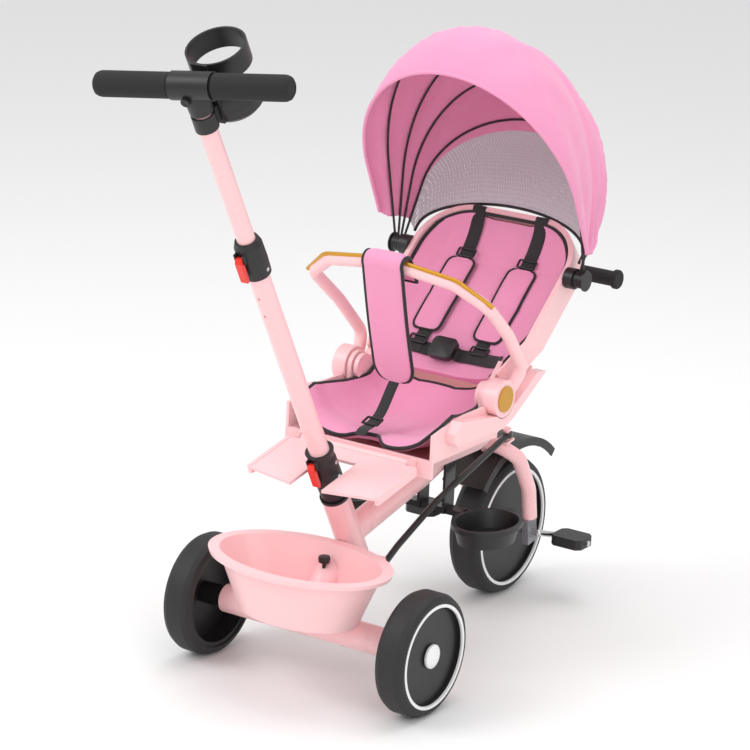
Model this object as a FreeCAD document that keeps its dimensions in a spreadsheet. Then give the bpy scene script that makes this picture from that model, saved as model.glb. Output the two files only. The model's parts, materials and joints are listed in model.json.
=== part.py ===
"""Children's push tricycle with a parent-facing seat, as separate pieces.

Millimetres, +Z up, +Y towards the front wheel, +X to the right seen from the push bar.
The origin is on the floor, in the middle of the whole tricycle's box. The seat looks
along -Y, at the person who pushes.
"""
import FreeCAD, Part
import math
import os
import re
import Sketcher

V = FreeCAD.Vector

# ---------------------------------------------------------------- driving sizes
SIZES = {
    # whole tricycle
    "axle_y": -138.58,            # rear axle, behind the middle of the box
    "wheelbase": 560.6,
    "track_half": 232.0,          # middle plane to the outside of a rear tyre
    "rear_wheel_radius": 100.0,
    "rear_tyre_width": 52.0,
    "front_wheel_radius": 121.4,
    "front_tyre_width": 60.0,
    "tyre_depth": 18.0,
    "trim_ring_width": 5.5,
    "axle_radius": 6.0,
    # gaps
    "running_gap": 0.05,          # radial, shaft in its bore
    "slide_gap": 0.1,
    "clear_gap": 0.5,             # between pieces that pass each other
    "curved_gap": 0.6,
    # frame tubes
    "axle_tube_radius": 23.5,
    "frame_tube_radius": 20.5,
    "tube_wall": 2.0,
    "post_radius": 23.0,
    "post_below": 124.0,          # post's length below the pole's reference point
    "post_above": 2.0,
    "head_tube_radius": 19.5,
    "head_tube_length": 66.0,
    # push bar
    "pole_y": 48.0,
    "pole_z": 300.0,
    "pole_lean": 29.5,
    "lower_pole_radius": 16.5,
    "lower_pole_top": 506.0,
    "upper_pole_radius": 14.2,
    "pole_wall": 2.2,
    "pole_overlap": 190.0,
    "handle_height": 830.0,       # along the pole from its reference point
    "handle_half": 157.0,
    "handle_yaw": 11.3,           # the handle's turn about the push bar, right end forward
    "grip_radius": 19.5,
    "hub_half": 33.0,
    "hub_radius": 21.5,
    "arm_reach": 46.0,            # steering arm, push bar axis to the rod
    "cup_behind": 69.5,           # cup axis behind the pole
    "cup_radius": 46.0,
    "cup_wall": 3.5,
    "cup_height": 112.0,
    "cup_ring_height": 34.0,
    "cup_dish_height": 22.0,
    # fork and steering
    "head_lean": 10.0,
    "fork_offset": 39.0,
    "fork_drop": 174.0,
    "fork_tube_radius": 13.0,
    "fork_half": 62.0,
    "steerer_radius": 12.5,
    "steerer_length": 118.0,
    "handlebar_half": 184.0,
    "handlebar_radius": 10.0,
    "handlebar_grip_radius": 13.0,
    "rod_radius": 5.5,
    "fender_radius": 158.0,
    "fender_half": 42.0,
    "crank_length": 51.0,
    "crank_slope": 18.0,
    "pedal_width": 60.0,
    "pedal_depth": 50.0,
    "pedal_thickness": 18.0,
    # seat
    "hinge_y": 290.0,
    "hinge_z": 441.0,
    "backrest_lean": 48.3,
    "backrest_half": 154.0,
    "backrest_height": 352.0,
    "backrest_depth": 40.0,
    "shell_wall": 5.0,
    "seat_half": 160.0,
    "seat_front": 72.0,
    "rail_front": 142.0,
    "rail_low": 391.0,
    "rail_top": 431.0,
    "pan_low": 345.0,
    "leg_hinge_y": 98.0,
    "leg_hinge_z": 366.0,
    "leg_rest_slope": 12.0,
    "leg_rest_length": 128.0,
    "leg_rest_half": 125.0,
    "leg_slot_half": 30.0,
    "bumper_lean": 28.5,
    "bumper_height": 255.0,
    "bumper_half": 169.0,
    "bumper_bar_radius": 10.5,
    "disc_radius": 31.0,
    "disc_width": 25.0,
    # canopy
    "hub_height": 250.7,
    "bow_radius": 2.0,
    "hub_pin_radius": 4.0,
    "canopy_hub_radius": 17.5,
    "fabric_thickness": 3.0,
    # footrests and basket
    "bracket_y": 350.0,
    "bracket_z": 207.0,
    "tray_pivot": 67.0,
    "tray_half": 52.0,
    "tray_half_length": 68.0,
    "tray_depth": 34.0,
    "basket_half": 163.0,
    "basket_half_depth": 108.0,
    "basket_y": -44.0,
    "basket_rim_z": 222.0,
    "basket_floor_z": 127.0,
    "basket_wall": 3.5,
}

doc = FreeCAD.newDocument("push_tricycle")
sheet = doc.addObject("Spreadsheet::Sheet", "sizes")
for row, (alias, number) in enumerate(SIZES.items(), 1):
    sheet.set("A%d" % row, alias)
    sheet.set("B%d" % row, str(number))
    sheet.setAlias("B%d" % row, alias)
doc.recompute()

nodes = {}


# ---------------------------------------------------------------- helpers
def bound(text):
    """A formula in the sheet's words, with each word pointed at the sheet."""
    return re.sub(r"[a-z][a-z_]*", lambda m: "sizes." + m[0] if m[0] in SIZES else m[0], str(text))


def size(text):
    """The number that a formula in the sheet's words gives."""
    return float(sheet.evalExpression(bound(text)))


# Each frame: y and z of its origin, and its turn about X.
CROWN_Y = "axle_y + wheelbase - fork_offset * cos(head_lean) - fork_drop * sin(head_lean)"
CROWN_Z = "front_wheel_radius - fork_offset * sin(head_lean) + fork_drop * cos(head_lean)"
HUB_Y = "axle_y + hinge_y + hub_height * sin(backrest_lean)"
HUB_Z = "hinge_z + hub_height * cos(backrest_lean)"
FRAMES = {
    "ground": ("axle_y", "0", "0"),
    "rear_axle": ("axle_y", "rear_wheel_radius", "0"),
    "front_axle": ("axle_y + wheelbase", "front_wheel_radius", "0"),
    "pole": ("axle_y + pole_y", "pole_z", "pole_lean"),
    "crown": (CROWN_Y, CROWN_Z, "head_lean"),
    "hinge": ("axle_y + hinge_y", "hinge_z", "0"),
    "backrest": ("axle_y + hinge_y", "hinge_z", "-backrest_lean"),
    "bumper": ("axle_y + hinge_y", "hinge_z", "bumper_lean"),
    "leg_rest": ("axle_y + leg_hinge_y", "leg_hinge_z", "leg_rest_slope"),
    "hub": (HUB_Y, HUB_Z, "0"),
}
AXES = {
    "Z": FreeCAD.Rotation(),
    "X": FreeCAD.Rotation(V(0, 1, 0), 90),
    "Y": FreeCAD.Rotation(V(1, 0, 0), -90),
    "handle": FreeCAD.Rotation(V(0, 0, 1), size("handle_yaw")),
    "handle_press": FreeCAD.Rotation(V(0, 0, 1), size("handle_yaw - 90")),
    "handle_press_bore": FreeCAD.Rotation(V(0, 0, 1), size("handle_yaw")).multiply(
        FreeCAD.Rotation(V(1, 0, 0), -90)),
}


def place(thing, frame, x="0", y="0", z="0", axis="Z", spin="0"):
    """Put a thing in a frame: at x, y, z there, its own Z along the named axis."""
    frame_y, frame_z, turn = FRAMES[frame]
    lean = "(%s)" % turn
    rotation = FreeCAD.Rotation(V(1, 0, 0), size(turn) + size(spin)).multiply(AXES[axis])
    thing.Placement = FreeCAD.Placement(V(0, 0, 0), rotation)
    thing.setExpression("Placement.Base.x", bound(x))
    thing.setExpression(
        "Placement.Base.y", bound("%s + (%s) * cos(%s) - (%s) * sin(%s)" % (frame_y, y, lean, z, lean)))
    thing.setExpression(
        "Placement.Base.z", bound("%s + (%s) * sin(%s) + (%s) * cos(%s)" % (frame_z, y, lean, z, lean)))
    return thing


def local(point, frame, base_frame="ground"):
    """A point of one frame, given in another frame, as a vector."""
    def placement(name):
        frame_y, frame_z, turn = FRAMES[name]
        rotation = FreeCAD.Rotation(V(1, 0, 0), size(turn))
        return FreeCAD.Placement(V(0, size(frame_y), size(frame_z)), rotation)
    return placement(frame).inverse().multVec(placement(base_frame).multVec(V(*point)))


def new_body(label, frame, **offset):
    body = doc.addObject("PartDesign::Body", label)
    place(body, frame, **offset)
    return body


def outline(body, plane, points, offset="0"):
    """A closed sketch of straight lines, each corner held at its two formulas."""
    sketch = body.newObject("Sketcher::SketchObject", body.Name + "_outline")
    support = [part for part in body.Origin.OriginFeatures if part.Role == plane][0]
    sketch.AttachmentSupport = (support, [""])
    sketch.MapMode = "FlatFace"
    sketch.setExpression("AttachmentOffset.Base.z", bound(offset))
    corners = [V(size(u), size(v), 0) for u, v in points]
    count = len(corners)
    for index in range(count):
        sketch.addGeometry(Part.LineSegment(corners[index], corners[(index + 1) % count]), False)
    for index in range(count):
        sketch.addConstraint(Sketcher.Constraint("Coincident", index, 2, (index + 1) % count, 1))
    for index, pair in enumerate(points):
        for kind, text in zip(("DistanceX", "DistanceY"), pair):
            number = sketch.addConstraint(Sketcher.Constraint(kind, -1, 1, index, 1, size(text)))
            sketch.setExpression("Constraints[%d]" % number, bound(text))
    return sketch


def turned(label, frame, profile, **offset):
    """A piece turned about its own X axis from (x, radius) corners."""
    body = new_body(label, frame, **offset)
    sketch = outline(body, "XY_Plane", profile)
    turn = body.newObject("PartDesign::Revolution", label + "_turn")
    turn.Profile = sketch
    turn.ReferenceAxis = (sketch, ["H_Axis"])
    turn.Angle = 360
    return body


def turned_up(label, frame, profile, **offset):
    """A piece turned about its own Z axis from (radius, z) corners."""
    body = new_body(label, frame, **offset)
    sketch = outline(body, "XZ_Plane", profile)
    turn = body.newObject("PartDesign::Revolution", label + "_turn")
    turn.Profile = sketch
    turn.ReferenceAxis = (sketch, ["V_Axis"])
    turn.Angle = 360
    return body


def plate(label, frame, plane, points, thickness, start="0", both_ways=False, **offset):
    """A flat piece: an outline on a plane, given a thickness."""
    body = new_body(label, frame, **offset)
    pad = body.newObject("PartDesign::Pad", label + "_pad")
    pad.Profile = outline(body, plane, points, start)
    pad.setExpression("Length", bound(thickness))
    pad.SideType = "Symmetric" if both_ways else "One side"
    return body


def cylinder(name, frame, radius, length, axis="Z", x="0", y="0", z="0"):
    thing = doc.addObject("Part::Cylinder", name)
    thing.setExpression("Radius", bound(radius))
    thing.setExpression("Height", bound(length))
    return place(thing, frame, x, y, z, axis)


def box(name, frame, x, y, z):
    """A box from three (low, high) formulas."""
    thing = doc.addObject("Part::Box", name)
    for side, (low, high) in zip(("Length", "Width", "Height"), (x, y, z)):
        thing.setExpression(side, bound("(%s) - (%s)" % (high, low)))
    return place(thing, frame, x[0], y[0], z[0])


def fuse(name, *things):
    thing = doc.addObject("Part::MultiFuse", name)
    thing.Shapes = list(things)
    return thing


def cut(name, base, *tools):
    thing = doc.addObject("Part::Cut", name)
    thing.Base = base
    thing.Tool = tools[0] if len(tools) == 1 else fuse(name + "_tools", *tools)
    return thing


def mirrored(name, source):
    thing = doc.addObject("Part::Mirroring", name)
    thing.Source = source
    thing.Normal = V(1, 0, 0)
    return thing


def group(name, *things):
    """Several separate solids kept as one node."""
    thing = doc.addObject("Part::Compound", name)
    thing.Links = list(things)
    return thing


def pair(name, source):
    return group(name, source, mirrored(name + "_other", source))


def formed(name, shape, frame="ground", spin="0"):
    """A shape made with Part's own functions, in a frame's coordinates."""
    thing = doc.addObject("Part::Feature", name)
    thing.Shape = shape
    return place(thing, frame, spin=spin)


def node(label, thing):
    thing.Label = label
    nodes[label] = thing


def rounded_path(points, bend):
    """Straight runs joined by tangent arcs of one radius, or less where a run is short."""
    points = [V(*p) for p in points]
    edges = []
    start = points[0]
    for before, corner, after in zip(points, points[1:], points[2:]):
        back = (before - corner).normalize()
        ahead = (after - corner).normalize()
        half_turn = (math.pi - back.getAngle(ahead)) / 2
        room = 0.48 * min((before - corner).Length, (after - corner).Length)
        reach = min(bend * math.tan(half_turn), room)
        radius = reach / math.tan(half_turn)
        first = corner + back * reach
        last = corner + ahead * reach
        inward = (back + ahead).normalize()
        middle = corner + inward * (math.hypot(radius, reach) - radius)
        edges.append(Part.LineSegment(start, first).toShape())
        edges.append(Part.Arc(first, middle, last).toShape())
        start = last
    edges.append(Part.LineSegment(start, points[-1]).toShape())
    return Part.Wire(edges)


def round_section(path, radius):
    edge = path.Edges[0]
    start = edge.valueAt(edge.FirstParameter)
    direction = edge.tangentAt(edge.FirstParameter)
    return Part.Wire(Part.Circle(start, direction, radius).toShape())


def swept(path, section):
    """A section carried along a path, as a solid."""
    return Part.Solid(path.makePipeShell([section], True, False))


def bent_tube(points, bend, radius):
    path = rounded_path(points, bend)
    return swept(path, round_section(path, radius))


# ---------------------------------------------------------------- rear axle and frame
def rear_axle():
    tube = turned("rear_axle_tube", "rear_axle", [
        ("-(track_half - rear_tyre_width - 8)", "axle_tube_radius - tube_wall"),
        ("track_half - rear_tyre_width - 8", "axle_tube_radius - tube_wall"),
        ("track_half - rear_tyre_width - 8", "axle_tube_radius"),
        ("-(track_half - rear_tyre_width - 8)", "axle_tube_radius")])
    node("rear_axle_tube", tube)
    rod = cylinder("rear_rod", "rear_axle", "axle_radius", "2 * (track_half - 3)", "X", x="-(track_half - 3)")
    nut = turned("push_nut", "rear_axle", [
        ("track_half - 6", "axle_radius"), ("track_half - 4", "axle_radius"),
        ("track_half - 4", "axle_radius + 5"), ("track_half - 6", "axle_radius + 5")])
    node("rear_axle_rod", group("rear_axle_rod", rod, nut, mirrored("push_nut_left", nut)))


def frame_path():
    """Rear frame tube: out of the axle tube, up and forward to the push bar post."""
    return [(0, 2, size("rear_wheel_radius + 8")), (0, 26, size("rear_wheel_radius + 58")),
            (0, size("pole_y + 50"), size("pole_z - 88"))]


def main_tube():
    """Main frame tube, from the post up to the head tube, as a solid."""
    start = (0, size("pole_y + 46"), size("pole_z - 72"))
    end = local((0, 0, size("head_tube_length / 2 + fork_tube_radius + 4")), "ground", "crown")
    return bent_tube([start, (0, 300, 277), tuple(end)], 200, size("frame_tube_radius + 1.5"))


def frame_tubes():
    post_z = "-post_below"
    post = cylinder("post_outside", "pole", "post_radius", "post_below + post_above", z=post_z)
    post_bore = cylinder("post_bore", "pole", "post_radius - tube_wall", "post_below + post_above + 2",
                         z=post_z + " - 1")
    node("push_bar_post", cut("push_bar_post", post, post_bore))

    axle_clear = cylinder("axle_weld", "rear_axle", "axle_tube_radius", "80", "X", x="-40")
    post_clear = cylinder("post_weld", "pole", "post_radius", "post_below + 60", z="-post_below - 30")
    rear = formed("rear_tube_solid", bent_tube(frame_path(), 40, size("frame_tube_radius")))
    node("frame_tube_rear", cut("frame_tube_rear", rear, group("rear_welds", axle_clear, post_clear)))

    main = formed("main_tube_solid", main_tube())
    head = cylinder("head_outside", "crown", "head_tube_radius", "head_tube_length",
                    z="fork_tube_radius + clear_gap + 2")
    head_bore = cylinder("head_bore", "crown", "head_tube_radius - tube_wall - 1", "head_tube_length + 40",
                         z="fork_tube_radius - 18")
    post_weld = cylinder("post_weld_front", "pole", "post_radius", "post_below + 60", z="-post_below - 30")
    welded = fuse("main_and_head", main, head)
    node("frame_tube_front", cut("frame_tube_front", welded, post_weld, head_bore))


def bushings():
    """Plastic bushings: two in the post, two in the head tube and one at each axle tube end."""
    axle = turned("axle_bushing", "rear_axle", [
        ("track_half - rear_tyre_width - 28", "axle_radius"),
        ("track_half - rear_tyre_width - 5", "axle_radius"),
        ("track_half - rear_tyre_width - 5", "axle_tube_radius - 1"),
        ("track_half - rear_tyre_width - 8", "axle_tube_radius - 1"),
        ("track_half - rear_tyre_width - 8", "axle_tube_radius - tube_wall"),
        ("track_half - rear_tyre_width - 28", "axle_tube_radius - tube_wall")])
    inner = "lower_pole_radius + running_gap"
    post_top = turned_up("post_top_bushing", "pole", [
        (inner, "post_above - 16"), ("post_radius - tube_wall", "post_above - 16"),
        ("post_radius - tube_wall", "post_above"), ("post_radius + 1.5", "post_above"),
        ("post_radius + 1.5", "post_above + 5"), (inner, "post_above + 5")])
    post_low = turned_up("post_low_bushing", "pole", [
        (inner, "-post_below - 2"), ("post_radius", "-post_below - 2"),
        ("post_radius", "-post_below"), ("post_radius - tube_wall", "-post_below"),
        ("post_radius - tube_wall", "16 - post_below"), (inner, "16 - post_below")])
    head_low = "fork_tube_radius + clear_gap + 2"
    head = [turned_up("head_bushing_%d" % index, "crown", [
        ("steerer_radius + running_gap", low), ("head_tube_radius - tube_wall - 1", low),
        ("head_tube_radius - tube_wall - 1", low + " + 14"), ("steerer_radius + running_gap", low + " + 14")])
        for index, low in enumerate((head_low, head_low + " + head_tube_length - 14"))]
    node("frame_bushings", group("frame_bushings", axle, mirrored("axle_bushing_left", axle),
                                 post_top, post_low, *head))


def seat_socket():
    """Pedestal on the main tube that takes the peg under the seat."""
    block = turned_up("socket_block", "ground", [
        ("20 + slide_gap", "286"), ("30", "286"), ("38", "pan_low - 6"), ("20 + slide_gap", "pan_low - 6")],
        y="300")
    tube = formed("socket_saddle", main_tube())
    node("seat_socket", cut("seat_socket", block, tube))


def footrest_bracket():
    """U bracket: two plates down from the main tube, and a bar across under it."""
    plate_in = "frame_tube_radius + 1.9"
    cheek = box("bracket_cheek", "ground", (plate_in, plate_in + " + 5"),
                ("bracket_y - 15", "bracket_y + 15"), ("bracket_z - 5", "bracket_z + 96"))
    bar = box("bracket_bar", "ground", ("-(tray_pivot - 9)", "tray_pivot - 9"),
              ("bracket_y - 12", "bracket_y + 12"), ("bracket_z - 5", "bracket_z + 5"))
    ears = [box("bracket_ear_%d" % index, "ground", ("tray_pivot - 9", "tray_pivot + 5"), side,
                ("bracket_z - 5", "bracket_z + 5")) for index, side in enumerate((
                    ("bracket_y - 12", "bracket_y - 7"), ("bracket_y + 7", "bracket_y + 12")))]
    half = fuse("bracket_half", cheek, *ears)
    whole = fuse("bracket_whole", half, mirrored("bracket_half_left", half), bar)
    pins = [cylinder("bracket_pin_hole_%d" % index, "ground", "3.0", "40", "Y",
                     x=x, y="bracket_y - 20", z="bracket_z")
            for index, x in enumerate(("tray_pivot", "-tray_pivot"))]
    node("footrest_bracket", cut("footrest_bracket", whole, *pins))


def cup_solid(half, half_length, depth, taper, at, grow=0.0):
    """An oval tapered block, its rim on top, sizes given as numbers."""
    rim = Part.Ellipse(V(0, 0, 0), half + grow, half_length + grow) if half >= half_length else None
    curve = rim or Part.Ellipse(V(0, half_length + grow, 0), V(half + grow, 0, 0), V(0, 0, 0))
    low = curve.toShape()
    low.scale(taper)
    low.translate(V(0, 0, -depth))
    loft = Part.makeLoft([Part.Wire(low), Part.Wire(curve.toShape())], True, True)
    loft.translate(V(*at))
    return loft


def footrests():
    """Two oval trays that fold up on pins along Y at the bracket's ends."""
    half = size("tray_half")
    long_half = size("tray_half_length")
    depth = size("tray_depth")
    centre = (size("tray_pivot + tray_half + 5"), size("bracket_y - 34"), size("bracket_z + 11"))
    wall = 4.0
    outer = cup_solid(half, long_half, depth, 0.84, centre)
    inner = cup_solid(half - wall, long_half - wall, depth - wall, 0.84, (centre[0], centre[1], centre[2] + 0.01))
    rim = cup_solid(half + 3, long_half + 3, 8, 1.0, centre).cut(
        cup_solid(half - wall, long_half - wall, 9, 0.99, (centre[0], centre[1], centre[2] + 0.01)))
    for label, side in (("footrest_right", 1), ("footrest_left", -1)):
        shape = outer.fuse(rim).cut(inner).removeSplitter()
        if side < 0:
            shape = shape.mirror(V(0, 0, 0), V(1, 0, 0))
        tray = formed(label + "_tray", shape)
        knuckle = box(label + "_knuckle", "ground",
                      ("tray_pivot - 5", "tray_pivot + 9") if side > 0 else ("-(tray_pivot + 9)", "-(tray_pivot - 5)"),
                      ("bracket_y - 6.4", "bracket_y + 6.4"), ("bracket_z - 5", "bracket_z + 5"))
        pin = cylinder(label + "_pin", "ground", "2.95", "24", "Y",
                       x="%d * tray_pivot" % side, y="bracket_y - 12", z="bracket_z")
        trim = box(label + "_trim", "ground",
                   ("tray_pivot - 30", "tray_pivot + 9") if side > 0 else ("-(tray_pivot + 9)", "-(tray_pivot - 30)"),
                   ("bracket_y - 12.6", "bracket_y + 12.6"), ("bracket_z - 60", "bracket_z + 30"))
        node(label, fuse(label, cut(label + "_open", tray, trim), knuckle, pin))


def basket():
    """Oval tub with a wide rim, and a ridge over the rear frame tube."""
    half = size("basket_half")
    deep = size("basket_half_depth")
    wall = size("basket_wall")
    rim_z = size("basket_rim_z")
    depth = rim_z - size("basket_floor_z")
    at = (0, size("basket_y"), rim_z)
    outer = cup_solid(half - 15, deep - 15, depth, 0.72, at)
    inner = cup_solid(half - 15 - wall, deep - 15 - wall, depth - wall, 0.72, (0, at[1], rim_z + 0.01))
    rim = cup_solid(half, deep, 7, 0.985, at).cut(cup_solid(half - 15 - wall, deep - 15 - wall, 8, 0.99,
                                                            (0, at[1], rim_z + 0.01)))
    clear = size("frame_tube_radius + clear_gap")
    path = frame_path()
    ridge = bent_tube(path, 40, clear + wall).common(outer)
    channel = bent_tube(path, 40, clear)
    post = Part.makeCylinder(size("post_radius + clear_gap"), 260, V(0, size("pole_y"), size("pole_z")),
                             V(0, math.sin(math.radians(size("pole_lean"))), -math.cos(math.radians(size("pole_lean")))))
    collar = Part.makeCylinder(size("post_radius + clear_gap") + wall, 260, V(0, size("pole_y"), size("pole_z")),
                               V(0, math.sin(math.radians(size("pole_lean"))),
                                 -math.cos(math.radians(size("pole_lean"))))).common(outer)
    shell = outer.cut(inner).fuse([rim, ridge, collar]).cut(Part.makeCompound([channel, post]))
    shell = max(shell.Solids, key=lambda solid: solid.Volume)
    node("rear_basket", formed("rear_basket", shell))
    knob = turned_up("knob_body", "ground", [
        ("0", "0"), ("3", "0"), ("3", "10"), ("9", "10"), ("10", "16"), ("9", "20"), ("0", "21")],
        y="24", z="rear_wheel_radius + 58 + frame_tube_radius + basket_wall + 4")
    node("basket_knob", cut("basket_knob", knob, nodes["rear_basket"]))


# ---------------------------------------------------------------- wheels
def rear_wheels():
    face = "track_half"
    inside = "(track_half - rear_tyre_width)"
    rim_radius = "(rear_wheel_radius - tyre_depth)"
    ring_out = "(rear_wheel_radius - tyre_depth + 3.5)"
    ring_in = "(rear_wheel_radius - tyre_depth + 3.5 - trim_ring_width)"
    radius = "rear_wheel_radius"
    tyre = [(inside + " + 3", rim_radius), (face + " - 3", rim_radius), (face + " - 3", ring_out), (face, ring_out),
            (face, radius + " - 10"), (face + " - 4", radius + " - 4"), (face + " - 12", radius),
            (inside + " + 12", radius), (inside + " + 4", radius + " - 4"), (inside, radius + " - 10"),
            (inside, ring_out), (inside + " + 3", ring_out)]
    bore = "axle_radius + running_gap"
    rim = [(inside, bore), (face + " - 6.5", bore), (face + " - 6.5", "20"), (face + " - 9", "20"),
           (face + " - 9", ring_in + " - 1"), (face + " - 3", ring_in + " - 1"), (face + " - 3", rim_radius),
           (inside + " + 3", rim_radius), (inside + " + 3", rim_radius + " - 4"),
           (face + " - 14", rim_radius + " - 4"), (face + " - 14", "18"), (inside, "18")]
    for label, side in (("right", 1), ("left", -1)):
        def sided(profile):
            return [("%d * (%s)" % (side, x), r) for x, r in profile]
        node("rear_tyre_" + label, turned("rear_tyre_" + label, "rear_axle", sided(tyre)))
        node("rear_rim_" + label, turned("rear_rim_" + label, "rear_axle", sided(rim)))
        ring = turned("trim_ring_" + label, "rear_axle", sided([
            (face + " - 3", ring_in), (face + " + 0.6", ring_in), (face + " + 0.6", ring_out + " - 0.4"),
            (face + " - 3", ring_out + " - 0.4")]))
        cap = turned("hub_cap_" + label, "rear_axle", sided([
            (face + " - 6.5", "14"), (face + " - 2", "14"), (face + " - 2", "0"), (face + " + 1", "0"),
            (face + " + 0.4", "12"), (face + " - 1.5", "17.5"), (face + " - 3", "19.5"), (face + " - 6.5", "19.5")]))
        node("rear_wheel_trim_" + label, group("rear_wheel_trim_" + label, ring, cap))


def front_wheel():
    half = "front_tyre_width / 2"
    radius = "front_wheel_radius"
    rim_radius = "(front_wheel_radius - tyre_depth - 1.5)"
    ring_out = "(front_wheel_radius - tyre_depth + 1.7)"
    ring_in = "(front_wheel_radius - tyre_depth + 1.7 - trim_ring_width)"

    right = [(half + " - 3", rim_radius), (half + " - 3", ring_out), (half, ring_out), (half, radius + " - 11"),
             (half + " - 5", radius + " - 4.5"), (half + " - 14", radius)]
    left = [("-(%s)" % x, r) for x, r in reversed(right)]
    node("front_tyre", turned("front_tyre", "front_axle", right + left))
    node("front_rim", turned("front_rim", "front_axle", [
        ("-24", "18"), ("24", "18"), ("24", "26"), (half + " - 9", "30"), (half + " - 9", ring_in + " - 1"),
        (half + " - 3", ring_in + " - 1"), (half + " - 3", rim_radius), ("-(%s - 3)" % half, rim_radius),
        ("-(%s - 3)" % half, ring_in + " - 1"), ("-(%s - 9)" % half, ring_in + " - 1"),
        ("-(%s - 9)" % half, "30"), ("-24", "26")]))
    ring = turned("front_ring", "front_axle", [
        (half + " - 3", ring_in), (half + " + 0.6", ring_in), (half + " + 0.6", ring_out + " - 0.4"),
        (half + " - 3", ring_out + " - 0.4")])
    node("front_wheel_rings", pair("front_wheel_rings", ring))
    node("clutch_hub", turned("clutch_hub", "front_axle", [
        ("-30", "axle_radius + running_gap"), ("30", "axle_radius + running_gap"), ("30", "14"), ("24", "18"),
        ("-24", "18"), ("-30", "14")]))


def cranks():
    """One bent steel rod: axle, two arms in opposite directions and two pedal pins."""
    reach_y = "crank_length * cos(crank_slope)"
    reach_z = "crank_length * sin(crank_slope)"
    arm_x = size("fork_half + 20")
    pin_end = size("fork_half + 29 + pedal_width + 5")
    dy = size(reach_y)
    dz = size(reach_z)
    shape = Part.makeCylinder(size("axle_radius"), 2 * arm_x, V(-arm_x, 0, 0), V(1, 0, 0))
    for side in (1, -1):
        inner = V(side * arm_x, 0, 0)
        outer = V(side * arm_x, side * dy, -side * dz)
        arm = Part.makeCylinder(5.5, (outer - inner).Length, inner, outer - inner)
        pin = Part.makeCylinder(5.0, pin_end - arm_x, outer, V(side, 0, 0))
        shape = shape.fuse([arm, pin, Part.makeSphere(6.5, inner), Part.makeSphere(5.6, outer)])
    node("pedal_crank", formed("pedal_crank", shape.removeSplitter(), "front_axle"))
    for label, side in (("right", 1), ("left", -1)):
        deep = "pedal_depth / 2"
        tall = "pedal_thickness / 2"
        block = plate("pedal_block_" + label, "front_axle", "XY_Plane", [
            ("-pedal_width / 2", "-%s + 8" % deep), ("-pedal_width / 2 + 8", "-" + deep),
            ("pedal_width / 2 - 8", "-" + deep), ("pedal_width / 2", "-%s + 8" % deep),
            ("pedal_width / 2", deep + " - 8"), ("pedal_width / 2 - 8", deep),
            ("-pedal_width / 2 + 8", deep), ("-pedal_width / 2", deep + " - 8")],
            "pedal_thickness", both_ways=True,
            x="%d * (fork_half + 29 + pedal_width / 2)" % side,
            y="%d * %s" % (side, reach_y), z="%d * %s" % (-side, reach_z))
        low_x = "fork_half + 20" if side > 0 else "-(fork_half + 29 + pedal_width + 20)"
        hole = cylinder("pedal_hole_" + label, "front_axle", "5 + running_gap", "pedal_width + 30", "X",
                        x=low_x, y="%d * %s" % (side, reach_y), z="%d * %s" % (-side, reach_z))
        node("pedal_" + label, cut("pedal_" + label, block, hole))


# ---------------------------------------------------------------- fork, handlebar, steering rod
def fork():
    half = size("fork_half")
    offset = size("fork_offset")
    drop = size("fork_drop")
    bend = 34
    leg = [(half, offset + 5, 24 - drop), (half, offset + 5, 79 - drop), (half - 4, offset - 16, 146 - drop),
           (half - 26, 0, 0)]
    path = leg + [(-x, y, z) for x, y, z in reversed(leg)]
    shape = bent_tube(path, bend, size("fork_tube_radius"))
    steerer = Part.makeCylinder(size("steerer_radius"), size("steerer_length"), V(0, 0, 0))
    lug_x = size("arm_reach")
    lug = Part.makeBox(24, 24, 4, V(lug_x - 16, -6, 8)).fuse(
        Part.makeCylinder(4, 24, V(lug_x, 8, 8)))
    lug = lug.fuse(Part.makeCylinder(7, 4, V(lug_x, 8, 28.5)))
    to_axle = V(0, offset, -drop)
    stud = Part.makeCylinder(5, to_axle.Length - size("fender_radius") - 3, V(0, 0, 0), to_axle)
    fender_clear = Part.makeCylinder(size("fender_radius") + 3.6, 2 * (size("fender_half") + 0.8),
                                     to_axle - V(size("fender_half") + 0.8, 0, 0), V(1, 0, 0))
    shape = shape.cut(fender_clear).fuse([steerer, lug, stud])
    node("fork", formed("fork", shape.removeSplitter(), "crown"))

    bracket = box("bracket_body", "crown", ("fork_half - 6", "fork_half + 6"),
                  ("fork_offset - 12", "fork_offset + 17"), ("-fork_drop - 22", "24 - fork_drop"))
    bore = cylinder("bracket_bore", "crown", "axle_radius + running_gap", "40", "X",
                    x="fork_half - 20", y="fork_offset", z="-fork_drop")
    node("axle_brackets", pair("axle_brackets", cut("bracket_bored", bracket, bore)))

    fender = new_body("fender", "front_axle")
    thick = "3"
    sketch = outline(fender, "XY_Plane", [
        ("-fender_half", "fender_radius - 12"), (thick + " - fender_half", "fender_radius - 12"),
        (thick + " - fender_half", "fender_radius"), ("fender_half - " + thick, "fender_radius"),
        ("fender_half - " + thick, "fender_radius - 12"), ("fender_half", "fender_radius - 12"),
        ("fender_half", "fender_radius + " + thick), ("-fender_half", "fender_radius + " + thick)])
    turn = fender.newObject("PartDesign::Revolution", "fender_turn")
    turn.Profile = sketch
    turn.ReferenceAxis = (sketch, ["H_Axis"])
    turn.Angle = 94
    place(fender, "front_axle", spin="47")
    node("fender", fender)


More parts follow.
